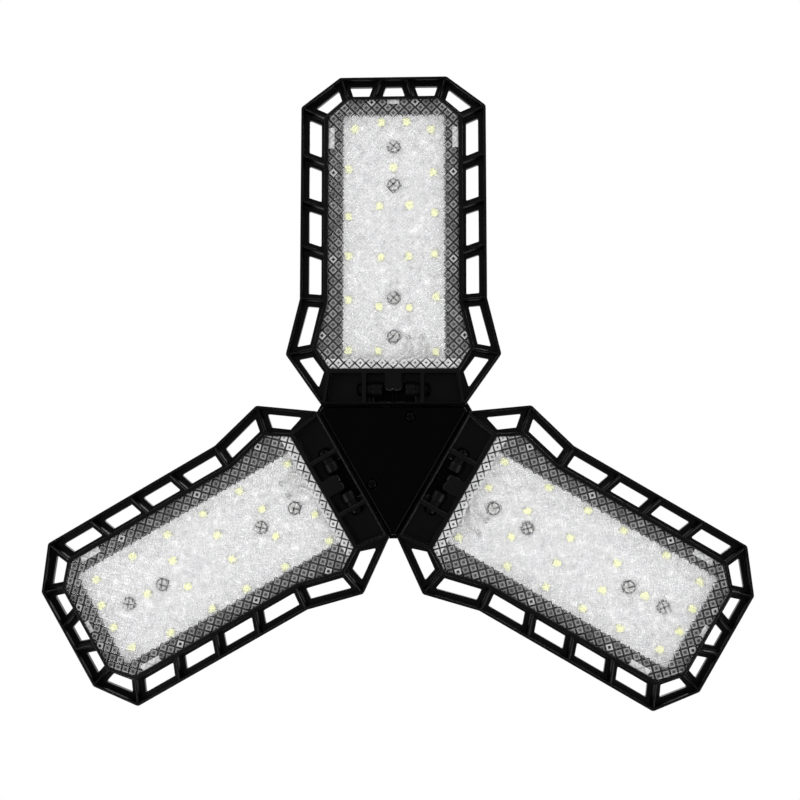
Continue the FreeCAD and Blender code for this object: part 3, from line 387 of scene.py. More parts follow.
def clear_styrene(paint):
    """Clear plastic, milky on pyramid flats, over studs and on plain patches, with milky strips along edges
    that are painted highlights and extra milk on the flats at the inner end that is painted light.
    """
    across, out = on_leaf(paint)
    across = abs(across)
    first, second = in_cells(across, out)
    off = paint.maths("MAXIMUM", *(abs(paint.maths("FRACT", cells) - 0.5) for cells in (first, second)))
    cell = vector_of(paint, paint.maths("FLOOR", first), paint.maths("FLOOR", second), 0.0)
    chance = paint.node("ShaderNodeTexWhiteNoise", {"noise_dimensions": "3D"}, {"Vector": cell})
    cloud = noise(paint, waves=330.0, detail=3.0)
    profile = off.node("ShaderNodeValToRGB", {"stops": [
        (outward, (share, share, share, 1)) for outward, share in MILK_ACROSS_FLAT]}, {"Fac": off * 2})
    milk = profile * (MILK_LEAST + MILK_BY_CELL * chance + MILK_BY_CLOUD * cloud)
    flat = off < FLAT_SHARE / 2
    # Extra milk on the flats inwards of the board's end is painted light from the board's edge.
    milk = milk + flat * (off > CLEAR_TIP) * (out < PAINTED_LIGHT_END * MM) * ranging(cloud, 0.3, 0.9)
    ring = flat * (off > RING_START)
    for stud_across, stud_out in STUDS:
        stud_cells = in_cells(stud_across * MM, stud_out * MM)
        apart = paint.maths("MAXIMUM", *(
            abs(cells - math.floor(stud) - 0.5) for cells, stud in zip((first, second), stud_cells)))
        milk = milk + (apart < 0.5) * (ring * RING_MILK - flat * RING_CLEARS)
    # Strips of extra milk along three edges are painted highlights of the lens's edges.
    for (x0, s0), (x1, s1), low, high, amount in PAINTED_HIGHLIGHT_STRIPS:
        length = math.hypot(x1 - x0, s1 - s0)
        inward = ((across / MM - x0) * (s1 - s0) - (out / MM - s0) * (x1 - x0)) / length
        within = ((across / MM - x0) * (x1 - x0) + (out / MM - s0) * (s1 - s0)) / length
        whole = (within > STRIP_END) * (within < length - STRIP_END)
        milk = milk + (inward < high) * (inward > low) * whole * amount
    for patch_across, patch_out, half_across, half_out in PLAIN_PATCHES:
        from_side = abs(across - patch_across * MM)
        from_out = abs(out - patch_out * MM)
        milk = milk + (from_side < half_across * MM) * (from_out < half_out * MM) * ranging(cloud, 0.1, 1.2)
    height = axis_of(paint.node("ShaderNodeTexCoord", out="Object"), "Z")
    milk = milk * (height < LENS_FRONT + MILK_SKIN)
    clear = principled(
        paint, Base_Color=(0.99, 0.99, 0.99, 1), Roughness=ranging(noise(paint, waves=900.0), 0.02, 0.07),
        IOR=1.49, Transmission_Weight=1.0)
    milky = principled(paint, Base_Color=blended(cloud, (0.90, 0.90, 0.91, 1), (0.97, 0.97, 0.97, 1)),
                       Roughness=0.45)
    body = paint.node("ShaderNodeMixShader", values={0: 0.01 + milk, 1: clear, 2: milky})
    passed = paint.node("ShaderNodeBsdfTransparent", values={"Color": (0.95, 0.95, 0.95, 1)})
    in_shadow = paint.node("ShaderNodeLightPath", out="Is Shadow Ray")
    return paint.node("ShaderNodeMixShader", values={0: in_shadow, 1: body, 2: passed})


lens_mesh = grown(pyramid_field(), softened("lens_a", 0), {
    "Cells": LATTICE_CELLS, "Side": PYRAMID_PITCH * ROOT_HALF, "Groove Width": GROOVE_WIDTH,
    "Groove Depth": GROOVE_DEPTH, "Front": LENS_FRONT + SHAVING, "Thickness": SLAB_HIGH,
    "Material": material_of("clear_styrene", clear_styrene)})
for face in lens_mesh.polygons:
    face.use_smooth = False
place_on_leaves("lens_cover", lens_mesh, "lens_clear", "lens")


# ======================================================================== light boards
# The board is an aluminium-cored plate with a white solder mask, screwed to the heat sink.
# It is punched out, with rounded edges, and its copper tracks stand out a little under the mask.

BOARD_EDGE = 0.12 * MM
MASK_MOTTLE_AND_HIGHLIGHTS = [                         # from darker to bright over the streaks; the brightest flecks are painted highlights of the lens's pyramids
    (0.30, (0.54, 0.54, 0.55, 1)), (0.43, (0.69, 0.69, 0.70, 1)), (0.57, (0.74, 0.74, 0.75, 1)),
    (0.68, (0.92, 0.92, 0.92, 1))]
MASK_ON_TRACKS = (0.62, 0.62, 0.63, 1)


def solder_mask(paint):
    """White mask over copper: faint tracks, a slight orange peel, darker patches and bright flecks that are
    painted highlights of the lens's pyramids.
    """
    tracks = paint.node(
        "ShaderNodeTexBrick", {"offset": 0.5},
        {"Vector": paint.node("ShaderNodeUVMap", {"uv_map": "leaf"}), "Scale": 60.0, "Mortar Size": 0.03,
         "Mortar Smooth": 0.3}, out="Fac")
    streaks = noise(paint, waves=380.0, detail=4.0)
    shade = streaks.node("ShaderNodeValToRGB", {"stops": MASK_MOTTLE_AND_HIGHLIGHTS}, {"Fac": streaks})
    peel = noise(paint, waves=1500.0)
    return principled(
        paint, Base_Color=blended(tracks * 0.2, shade, MASK_ON_TRACKS),
        Roughness=ranging(streaks, 0.42, 0.54),
        Normal=relief(paint, peel - 0.8 * tracks, strength=0.25, depth=0.04 * MM))


place_on_leaves("light_board", softened("led_board_a", BOARD_EDGE), "board_white", "led_board",
                material_of("solder_mask", solder_mask))


# ======================================================================== light-emitting packages
# 22 surface-mounted packages are soldered to each board by machine: a white moulded cup,
# a tinned foot at each end, and a round well filled level with pale yellow phosphor.

PACKAGE_WIDE = 2.8 * MM
PACKAGE_LONG = 3.5 * MM
PACKAGE_HIGH = 0.8 * MM
PACKAGE_DEPTH = 6.6                     # of its middle behind the front plane, millimetres
CUP_DRAFT = 0.08                        # a cup's front is smaller than its back by this share
WELL_RADIUS = 1.37 * MM
WELL_STRETCH = 1.17                     # a well is this much longer than wide
FOOT_LONG = 0.35 * MM
FOOT_WIDE, FOOT_HIGH = 0.72, 0.4        # shares of the package
PACKAGE_ROWS = [
    [(-16.8, 138.5), (-5.4, 141.3), (5.5, 141.3), (16.0, 137.8)],
    [(-19.5, 121.0), (-0.2, 121.5), (17.0, 119.3)],
    [(-19.5, 100.5), (-6.1, 104.9), (6.6, 105.1), (17.5, 101.8)],
    [(-19.4, 83.4), (-5.5, 82.7), (6.5, 83.2), (17.4, 84.1)],
    [(-19.5, 64.5), (-6.3, 61.6), (6.6, 61.1), (18.0, 65.8)],
    [(-19.5, 42.9), (-6.6, 42.6), (17.8, 42.1)],
]                                       # across and out from the lamp's axis, millimetres


def points_mesh(name, points, joined=False):
    """A mesh of bare points, or of one line through them."""
    edges = [(i, i + 1) for i in range(len(points) - 1)] if joined else []
    mesh = bpy.data.meshes.new(name)
    mesh.from_pydata([Vector(point) for point in points], edges, [])
    return mesh


def leaf_point(across, out, depth):
    """A point of leaf a, from its distance across, distance out and depth in millimetres."""
    return Vector((across * MM, -out * MM, FRONT + depth * MM))


def moved_by(geometry, offset):
    """The geometry, shifted."""
    return geometry.node("GeometryNodeTransform", values={"Geometry": geometry, "Translation": offset})


def package_tree():
    """The tree that sets one package on every point it is given."""
    tree, given = new_tree("light_packages", {
        "Wide": "Float", "Long": "Float", "High": "Float", "Draft": "Float", "Well Radius": "Float",
        "Well Stretch": "Float", "Foot": "Float", "Cup": "Material", "Phosphor": "Material",
        "Tin": "Material"})
    work = Wire(tree)
    wide, long, high = given["Wide"], given["Long"], given["High"]
    cup = work.node("GeometryNodeMeshCube", values={
        "Size": vector_of(work, wide, long - given["Foot"], high)})
    spot = work.node("GeometryNodeInputPosition")
    draft = 1 - given["Draft"] * (axis_of(spot, "Z") < 0)
    tapered = vector_of(work, axis_of(spot, "X") * draft, axis_of(spot, "Y") * draft, axis_of(spot, "Z"))
    cup = work.node("GeometryNodeSetPosition", values={"Geometry": cup, "Position": tapered})
    well = work.node("GeometryNodeMeshCylinder", values={
        "Vertices": 20, "Radius": given["Well Radius"], "Depth": high / 8}, out="Mesh")
    well = work.node("GeometryNodeTransform", values={
        "Geometry": well, "Translation": vector_of(work, 0.0, 0.0, high * -0.5),
        "Scale": vector_of(work, 1.0, given["Well Stretch"], 1.0)})
    parts = [in_material(cup, given["Cup"]), in_material(well, given["Phosphor"])]
    for side in (-0.5, 0.5):
        foot = work.node("GeometryNodeMeshCube", values={
            "Size": vector_of(work, wide * FOOT_WIDE, given["Foot"], high * FOOT_HIGH)})
        foot = moved_by(foot, vector_of(work, 0.0, (long - given["Foot"]) * side, high * 0.3))
        parts.append(in_material(foot, given["Tin"]))
    whole = work.node("GeometryNodeJoinGeometry", values={"Geometry": parts})
    close_tree(work.node("GeometryNodeInstanceOnPoints", values={
        "Points": given["Geometry"], "Instance": whole}))
    return tree


def mottled(waves, detail, dark, light, gloss, coat=None, bump=None, metal=0.0):
    """A surface whose colour, gloss, coat and bump all follow one noise."""
    def surface(paint):
        cloud = noise(paint, waves, detail)
        more = {"Coat_Weight": ranging(cloud, *coat)} if coat else {}
        if bump:
            more["Normal"] = relief(paint, cloud, *bump)
        return principled(paint, Base_Color=blended(cloud, dark, light), Metallic=metal,
                          Roughness=ranging(cloud, *gloss), **more)
    return surface


# Solder is grey-white metal, uneven and a little dull. The phosphor has grains in it, and the
# white cups are tinged by the phosphor beside them.
solder = material_of("solder", mottled(
    1400.0, 3.0, (0.55, 0.56, 0.57, 1), (0.74, 0.74, 0.73, 1), gloss=(0.24, 0.44),
    bump=(0.4, 0.08 * MM), metal=1.0))
white_cup = material_of("white_cup", mottled(
    1800.0, 2.0, (0.88, 0.91, 0.60, 1), (0.94, 0.96, 0.72, 1), gloss=(0.4, 0.55)))
phosphor = material_of("phosphor", mottled(
    2400.0, 3.0, (0.93, 0.96, 0.48, 1), (0.98, 0.99, 0.64, 1), gloss=(0.22, 0.42),
    bump=(0.3, 0.04 * MM)))
packages = grown(
    package_tree(),
    points_mesh("package_places", [
        leaf_point(across, out, PACKAGE_DEPTH) for row in PACKAGE_ROWS for across, out in row]),
    {"Wide": PACKAGE_WIDE, "Long": PACKAGE_LONG, "High": PACKAGE_HIGH, "Draft": CUP_DRAFT,
     "Well Radius": WELL_RADIUS, "Well Stretch": WELL_STRETCH, "Foot": FOOT_LONG,
     "Cup": white_cup, "Phosphor": phosphor, "Tin": solder})
place_on_leaves("light_packages", packages, "led_phosphor", "leds")


# ======================================================================== screws
# Cross-recessed pan heads, cold-formed from wire. Zinc-plated M3 screws hold the light boards
# and the neck; small blackened ones hold the heat sinks and the hub's cover; the hinges turn
# on blackened M3 screws with a hexagon socket.

BOARD_SCREWS = [48.8, 65.2, 114.0, 130.5]       # distances out along the leaf's middle
SINK_SCREWS = [(25.6, 118.7), (30.3, 48.8)]     # across, to both sides, and out
COVER_SCREWS = [(7.2, -14.4), (-8.8, 13.9)]     # x and y
NECK_SCREWS = [90, 210, 330]            # degrees round the lamp's axis
NECK_SCREW_REACH = 18.4                 # and distance from it
HINGE_SEAT = 13.75                      # heads of the hinge screws, from the leaf's middle
SHANK_START = 5.4                       # and their inner ends
AXIS_OUT = 26.0                         # hinge axis, from the lamp's axis
AXIS_DEPTH = 4.0
SEAT_DEPTHS = {"board": 7.0, "sink": 10.2, "cover": 1.4, "neck": 18.0}  # under the heads
HEADS = {"board": (2.8, 1.9), "sink": (2.0, 1.3), "hinge": (2.7, 1.9), "cover": (2.1, 1.2),
         "neck": (2.4, 1.6)}            # radius and height
SHANKS = {"board": (1.5, 5.4), "sink": (0.9, 4.4), "hinge": (1.5, HINGE_SEAT - SHANK_START),
          "cover": (1.2, 9.1), "neck": (1.2, 9.2)}      # radius and length
HEAD_RIM = 0.43                         # upright part of a head, as a share of its height
HEAD_DOME = [(0.42, 0.85, 1.0, 0.78), (0.84, 1.0, 0.78, 0.6)]  # heights from and to, radii there
CROSS_LONG, CROSS_WIDE = 1.7, 0.2       # shares of the head's radius
CROSS_DEEP = 0.45                       # share of its height
HEXAGON_WIDE, HEXAGON_FLOOR = 0.42, 0.45
SHADED = (0.4, 0.7, 0.78)               # recess floors given painted shade lie between these heights, inside this radius
CROSS_TURNS = (0.6, 0.95)               # the crosses come to rest near 45 degrees, in radians
FACING_DOWN = (math.pi, 0.0, 0.0)
FACING_UP = (0.0, 0.0, 0.0)


def screw_tree():
    """The tree that puts one screw on every point: local +Z is out of the head."""
    tree, given = new_tree("screws", {
        "Head Radius": "Float", "Head Height": "Float", "Shank Radius": "Float", "Shank Length": "Float",
        "Hexagon Socket": "Bool", "Turn": "Vector", "Seed": "Int", "Material": "Material",
        "Shade": "Material"})
    work = Wire(tree)
    radius, height = given["Head Radius"], given["Head Height"]

    def rod(r, low, high, sides):
        made = work.node("GeometryNodeMeshCylinder", values={
            "Vertices": sides, "Radius": r, "Depth": high - low}, out="Mesh")
        return moved_by(made, vector_of(work, 0.0, 0.0, (high + low) / 2))

    def dome(low_share, high_share, low_radius, high_radius):
        made = work.node("GeometryNodeMeshCone", values={
            "Vertices": 36, "Radius Bottom": radius * low_radius, "Radius Top": radius * high_radius,
            "Depth": height * (high_share - low_share)}, out="Mesh")
        return moved_by(made, vector_of(work, 0.0, 0.0, height * low_share))

    def slot(long, wide):
        made = work.node("GeometryNodeMeshCube", values={
            "Size": vector_of(work, radius * long, radius * wide, height * CROSS_DEEP * 2)})
        return moved_by(made, vector_of(work, 0.0, 0.0, height))

    head = [rod(radius, height * 0.0, height * HEAD_RIM, 36)] + [dome(*step) for step in HEAD_DOME]
    shank = rod(given["Shank Radius"], given["Shank Length"] * -1, height * 0.3, 24)
    whole = work.node("GeometryNodeMeshBoolean", {"operation": "UNION", "solver": "EXACT"}, {
        "Mesh 2": head + [shank]})
    cross = work.node("GeometryNodeMeshBoolean", {"operation": "UNION", "solver": "EXACT"}, {
        "Mesh 2": [slot(CROSS_LONG, CROSS_WIDE), slot(CROSS_WIDE, CROSS_LONG)]})
    hexagon = rod(radius * HEXAGON_WIDE, height * HEXAGON_FLOOR, height * 1.2, 6)
    recess = work.node("GeometryNodeSwitch", {"input_type": "GEOMETRY"}, {
        "Switch": given["Hexagon Socket"], "False": cross, "True": hexagon})
    screw = work.node("GeometryNodeMeshBoolean", {"operation": "DIFFERENCE", "solver": "EXACT"}, {
        "Mesh 1": whole, "Mesh 2": recess})
    screw = in_material(screw, given["Material"])
    # Upright faces and recess floors take the Shade material: a darker finish that is painted shade.
    x, y, z = (axis_of(work.node("GeometryNodeInputPosition"), name) for name in "XYZ")
    upright = abs(axis_of(work.node("GeometryNodeInputNormal"), "Z")) < 0.7
    inside_rim = work.maths("SQRT", x * x + y * y) < radius * SHADED[2]
    recess_floor = inside_rim * (z < height * SHADED[1]) * (z > height * SHADED[0])
    screw = work.node("GeometryNodeSetMaterial", values={
        "Geometry": screw, "Selection": work.maths("MAXIMUM", upright, recess_floor),
        "Material": given["Shade"]})
    spin = work.node("FunctionNodeRandomValue", {"data_type": "FLOAT"}, {
        "Min": CROSS_TURNS[0], "Max": CROSS_TURNS[1], "Seed": given["Seed"]}, out=1)
    facing = work.node("FunctionNodeEulerToRotation", values={"Euler": given["Turn"]})
    about = work.node("FunctionNodeEulerToRotation", values={"Euler": vector_of(work, 0.0, 0.0, spin)})
    turned = work.node("FunctionNodeRotateRotation", {"rotation_space": "LOCAL"}, {
        "Rotation": facing, "Rotate By": about})
    close_tree(work.node("GeometryNodeInstanceOnPoints", values={
        "Points": given["Geometry"], "Instance": screw, "Rotation": turned}))
    return tree


def plated(dark, light, metal):
    """Plated steel: fine scratches and dull spots."""
    def surface(paint):
        spots = noise(paint, waves=700.0, detail=4.0)
        fine = noise(paint, waves=5200.0)
        return principled(
            paint, Base_Color=blended(spots, dark, light), Metallic=metal,
            Roughness=ranging(spots, 0.22, 0.47),
            Normal=relief(paint, fine + spots, strength=0.25, depth=0.03 * MM))
    return surface


def screws(kind, points, turn, seed, finish, hexagon=False):
    """A mesh of like screws; finish is the material of their faces and that of their painted shade, on flanks
    and recess floors.
    """
    head, shank = HEADS[kind], SHANKS[kind]
    return one_mesh([grown(SCREW_TREE, points_mesh("screw_places", points), {
        "Head Radius": head[0] * MM, "Head Height": head[1] * MM, "Shank Radius": shank[0] * MM,
        "Shank Length": shank[1] * MM, "Hexagon Socket": hexagon, "Turn": turn, "Seed": seed,
        "Material": finish[0], "Shade": finish[1]})])


def one_mesh(meshes):
    """Several meshes as one, keeping their materials."""
    form = bmesh.new()
    materials = []
    for mesh in meshes:
        start = len(form.faces)
        form.from_mesh(mesh)
        form.faces.ensure_lookup_table()
        for i in range(start, len(form.faces)):
            material = mesh.materials[form.faces[i].material_index]
            if material not in materials:
                materials.append(material)
            form.faces[i].material_index = materials.index(material)
    return mesh_of(form, meshes[0].name, *materials)


SCREW_TREE = screw_tree()
# The zinc screws' second material is a dark zinc painted as shade on flanks and recesses; the blackened
# screws use one finish for both.
zinc = (material_of("zinc_plate", plated((0.52, 0.52, 0.51, 1), (0.78, 0.78, 0.76, 1), 0.45)),
        material_of("dulled_zinc", plated((0.03, 0.03, 0.032, 1), (0.10, 0.10, 0.105, 1), 0.6)))
black_oxide = (material_of(
    "black_oxide", plated((0.004, 0.004, 0.005, 1), (0.014, 0.014, 0.015, 1), 1.0)),) * 2

board_points = [leaf_point(0, out, SEAT_DEPTHS["board"]) for out in BOARD_SCREWS]
place_on_leaves("board_fixings", screws("board", board_points, FACING_DOWN, 3, zinc), "screw_steel",
                "board_screws")
sink_points = [leaf_point(side * across, out, SEAT_DEPTHS["sink"]) for across, out in SINK_SCREWS
               for side in (1, -1)]
place_on_leaves("sink_fixings", screws("sink", sink_points, FACING_UP, 5, black_oxide), "screw_black",
                "sink_screws")
hinge_pair = [
    screws("hinge", [leaf_point(side * HINGE_SEAT, AXIS_OUT, AXIS_DEPTH)], (0.0, side * math.pi / 2, 0.0), 7,
           black_oxide, hexagon=True)
    for side in (1, -1)]
place_on_leaves("hinge_bolts", one_mesh(hinge_pair), "screw_black", "hinge_screws", hub=True)
cover_points = [(x * MM, y * MM, FRONT + SEAT_DEPTHS["cover"] * MM) for x, y in COVER_SCREWS]
place("cover_fixings", screws("cover", cover_points, FACING_DOWN, 11, black_oxide), "hub", "screw_black",
      ["cover_screws"])
neck_points = [
    Matrix.Rotation(math.radians(angle), 4, "Z") @ Vector(
        (NECK_SCREW_REACH * MM, 0.0, FRONT + SEAT_DEPTHS["neck"] * MM)) for angle in NECK_SCREWS]
place("neck_fixings", screws("neck", neck_points, FACING_DOWN, 13, zinc), "hub", "screw_steel",
      ["neck_screws"])


# ======================================================================== heat sinks
# A finned plate in black anodised aluminium backs each light board. It is cut from an
# extrusion, so fine draw lines run along its fins; the bosses take the board's screws.

SINK_EDGE = 0.22 * MM
DRAW_STRETCH = 0.03                     # draw lines are drawn out by one over this


def anodised(paint):
    """Black anodising over draw lines that run out along the leaf."""
    across, out = on_leaf(paint)
    cloud = noise(paint, waves=70.0, detail=4.0)
    lines = paint.node("ShaderNodeTexNoise", values={
        "Vector": vector_of(paint, across, out * DRAW_STRETCH, 0.0), "Scale": 1800.0, "Detail": 2.0})
    return principled(
        paint, Base_Color=blended(cloud, (0.006, 0.006, 0.007, 1), (0.014, 0.014, 0.015, 1)), Metallic=0.35,
        Roughness=ranging(lines, 0.36, 0.50), Normal=relief(paint, lines, strength=0.35, depth=0.05 * MM))


place_on_leaves("finned_plate", softened("heat_sink_a", SINK_EDGE), "heat_sink_black", "heat_sink",
                material_of("anodised", anodised))


# ======================================================================== lead wires
# Two white leads are soldered to each board, curve back to the hinge in a black sleeve, cross
# it on its axis, where they only twist, and run through the hub to the driver's plug block.

LEAD_RADIUS = 0.6
CORE_RADIUS = 0.3
PADS = [(6.1, 48.5), (12.0, 48.5)]      # solder pads: across, out
PAD_DEPTH = 7.02
DROP_RADIUS, DROP_HIGH, DROP_SIDES = 1.25, 0.9, 18
PORT_OUT, PORT_DEPTH = 37.4, 5.3        # the leads' way through the rim
LOOPS = [                               # each lead from its pad to the port: across, out, depth
    [(6.1, 47.0, 6.1), (6.6, 43.6, 5.6), (5.2, 40.6, PORT_DEPTH)],
    [(12.0, 47.0, 6.1), (13.2, 43.6, 5.6), (12.6, 40.6, PORT_DEPTH), (7.0, 38.6, PORT_DEPTH)],
]
SLEEVE_OUT = 34.4                       # the sleeve starts here
RIM_OUT, TAB_OUT = 33.0, 30.0           # past the rim, and beside the hinge box's tab
PAIR_IN_PORT = 1.6                      # half the distance between the two leads: in the port,
PAIR_AT_TAB = 3.2                       # beside the tab,
PAIR_ON_AXIS = 2.0                      # where each meets the hub's on the hinge axis,
PAIR_IN_HUB = 0.8                       # and in the hub
HUB_RUN_DEPTH = 14.0                    # the leads run inwards through the hub at this depth,
HUB_WALL_OUT, HUB_RISE_OUT = 16.0, 8.0  # lose the sleeve and rise at these distances,
PLUG_OUT, PLUG_DEPTH = 3.6, 21.8        # and end here in the plug block
BENDS = {"loop": 1.6, "sleeve": 1.2, "core": 0.3, "hub": 1.1}


def swept(curve, radius, sides):
    """The tube of a round wire along a curve."""
    ring = curve.node("GeometryNodeCurvePrimitiveCircle", values={"Resolution": sides, "Radius": radius})
    return curve.node("GeometryNodeCurveToMesh", values={
        "Curve": curve, "Profile Curve": ring, "Fill Caps": True})


def lead_tree():
    """The tree that turns a line into a round wire with bends of one radius."""
    tree, given = new_tree("lead_wire", {"Radius": "Float", "Bend": "Float", "Material": "Material"})
    work = Wire(tree)
    line = work.node("GeometryNodeMeshToCurve", values={"Mesh": given["Geometry"]})
    bent = work.node("GeometryNodeFilletCurve", {"mode": "POLY"}, {
        "Curve": line, "Radius": given["Bend"], "Limit Radius": True, "Count": 8})
    close_tree(in_material(swept(bent, given["Radius"], 14), given["Material"]))
    return tree


def insulation(low, high):
    """Soft plastic insulation with a dusty sheen and small scuffs."""
    return mottled(600.0, 4.0, low, high, gloss=(0.38, 0.58), bump=(0.3, 0.04 * MM))


def lead(points, radius, bend, material):
    """A round wire along the points; radius and bend in millimetres."""
    return grown(LEAD_TREE, points_mesh("lead_line", points, True), {
        "Radius": radius * MM, "Bend": bend * MM, "Material": material})


def solder_drop(centre, radius, height):
    """A cone of solder with a hollow flank, round a wire's end."""
    form = bmesh.new()
    rings = []
    for share in (0.0, 0.25, 0.5, 0.75, 1.0):
        reach = radius * (0.22 + 0.78 * (1 - share) ** 1.7)
        turns = [math.tau * i / DROP_SIDES for i in range(DROP_SIDES)]
        rings.append([form.verts.new(centre + Vector(
            (reach * math.cos(turn), reach * math.sin(turn), -height * share))) for turn in turns])
    for low, high in zip(rings, rings[1:]):
        for i in range(DROP_SIDES):
            form.faces.new((low[i], high[i], high[i + 1 - DROP_SIDES], low[i + 1 - DROP_SIDES]))
    form.faces.new(rings[0])
    form.faces.new(rings[-1])
    bmesh.ops.recalc_face_normals(form, faces=form.faces)
    for face in form.faces:
        face.smooth = True
    return mesh_of(form, "solder_drop", solder)


LEAD_TREE = lead_tree()
white_lead = material_of("white_insulation", insulation((0.58, 0.58, 0.57, 1), (0.70, 0.70, 0.69, 1)))
black_sleeve = material_of("black_sleeve", insulation((0.005, 0.005, 0.006, 1), (0.012, 0.012, 0.012, 1)))

board_leads = []
for side, (across, out), loop in zip((-1, 1), PADS, LOOPS):
    in_port = (side * PAIR_IN_PORT, PORT_OUT, PORT_DEPTH)
    at_sleeve = (side * PAIR_IN_PORT, SLEEVE_OUT, PORT_DEPTH)
    to_axis = [(side * PAIR_IN_PORT, RIM_OUT, PORT_DEPTH), (side * PAIR_AT_TAB, TAB_OUT, AXIS_DEPTH),
               (side * PAIR_AT_TAB, AXIS_OUT, AXIS_DEPTH), (side * PAIR_ON_AXIS, AXIS_OUT, AXIS_DEPTH)]
    # The bare core comes up out of the solder and runs into the insulation.
    core = [(across, out + 0.4, 6.7), (across, out - 0.6, 6.1), (across, out - 1.8, 6.1)]
    for line, radius, bend, material in (
            (loop + [in_port, at_sleeve], LEAD_RADIUS, BENDS["loop"], white_lead),
            ([at_sleeve] + to_axis, LEAD_RADIUS, BENDS["sleeve"], black_sleeve),
            (core, CORE_RADIUS, BENDS["core"], solder)):
        board_leads.append(lead([leaf_point(*spot) for spot in line], radius, bend, material))
    board_leads.append(solder_drop(leaf_point(across, out, PAD_DEPTH), DROP_RADIUS * MM, DROP_HIGH * MM))
place_on_leaves("board_leads", one_mesh(board_leads), "wire_white", "leaf_wires")

hub_leads = []
for across in (-PAIR_IN_HUB, PAIR_IN_HUB):
    on_axis = (math.copysign(PAIR_ON_AXIS, across), AXIS_OUT, AXIS_DEPTH)
    at_wall = (across, HUB_WALL_OUT, HUB_RUN_DEPTH)
    sleeved = [on_axis, (across, AXIS_OUT, AXIS_DEPTH), (across, AXIS_OUT, HUB_RUN_DEPTH), at_wall]
    bare = [at_wall, (across, HUB_RISE_OUT, HUB_RUN_DEPTH), (across, HUB_RISE_OUT, PLUG_DEPTH),
            (across, PLUG_OUT, PLUG_DEPTH)]
    for line, material in ((sleeved, black_sleeve), (bare, white_lead)):
        hub_leads.append(lead([leaf_point(*spot) for spot in line], LEAD_RADIUS, BENDS["hub"], material))
place_on_leaves("hub_leads", one_mesh(hub_leads), "wire_white", "hub_wires", hub=True)


# ======================================================================== hinge washers
# Black nylon bushes sit on the hinge screws between arm and ear, with a thin washer under each
# head. They are squeezed when the screws are driven home, and their friction holds the leaf.

BUSH_EDGE = 0.08 * MM
BUSH_BLACK = (0.0012, 0.0012, 0.0012, 1)
BUSH_FLOW = (0.003, 0.003, 0.003, 1)

place_on_leaves("hinge_bushes", softened("hinge_washers_a", BUSH_EDGE), "washer_fibre", "hinge_washers",
                material_of("bush_nylon", grained_plastic(BUSH_BLACK, BUSH_FLOW, gloss=0.4, shine=0.1)),
                hub=True)


# ======================================================================== hub
# A die-casting in satin black paint carries the three pairs of hinge arms and the neck; a
# glossy moulded cover with a bevelled edge closes its front with two sunk screws.

CASTING_EDGE = 0.35 * MM
COVER_EDGE = 0.22 * MM
PAINT_BLACK = (0.0010, 0.0010, 0.0011, 1)
PAINT_THIN = (0.0028, 0.0028, 0.0030, 1)
COVER_BLACK = (0.0004, 0.0004, 0.0005, 1)
COVER_FLOW = (0.0010, 0.0010, 0.0011, 1)


def cast_paint(paint):
    """Black paint over a casting: soft orange peel and thin spots."""
    peel = noise(paint, waves=900.0)
    cloud = noise(paint, waves=80.0, detail=4.0)
    return principled(
        paint, Base_Color=blended(cloud, PAINT_BLACK, PAINT_THIN), Roughness=ranging(cloud, 0.32, 0.47),
        Specular_IOR_Level=0.15, Normal=relief(paint, peel, strength=0.25, depth=0.08 * MM))


place("hub_casting", softened("hub_body", CASTING_EDGE), "hub", "hub_black", ["hub_body"],
      material_of("cast_paint", cast_paint))
place("hub_front_cover", softened("hub_cover", COVER_EDGE), "hub", "cover_black", ["hub_cover"],
      material_of("gloss_cover", grained_plastic(COVER_BLACK, COVER_FLOW, gloss=0.14, shine=0.07)))


# ======================================================================== neck
# The neck is moulded in flame-resistant black plastic with a spark-eroded texture. Upright
# slots let the driver's warmth out, and its collar carries the screw cap.

NECK_EDGE = 0.3 * MM
NECK_BLACK = (0.008, 0.008, 0.0085, 1)
NECK_FLOW = (0.014, 0.014, 0.0145, 1)


def eroded_plastic(paint):
    """Matt black with a coarse, even grain."""
    pits = paint.node("ShaderNodeTexVoronoi", values={
        "Vector": paint.node("ShaderNodeTexCoord", out="Object"), "Scale": 1700.0}, out="Distance")
    cloud = noise(paint, waves=55.0, detail=3.0)
    return principled(
        paint, Base_Color=blended(cloud, NECK_BLACK, NECK_FLOW), Roughness=ranging(cloud, 0.5, 0.62),
        Specular_IOR_Level=0.4, Normal=relief(paint, pits, strength=0.4, depth=0.1 * MM))


place("neck_shell", softened("neck_housing", NECK_EDGE), "hub", "neck_black", ["neck_housing"],
      material_of("eroded_plastic", eroded_plastic))


# ======================================================================== driver
# The current driver stands upright in the neck: a small laminate board with a capacitor,
# a choke, a rectifier, a control chip, a fusible resistor and a plug block for the leads.

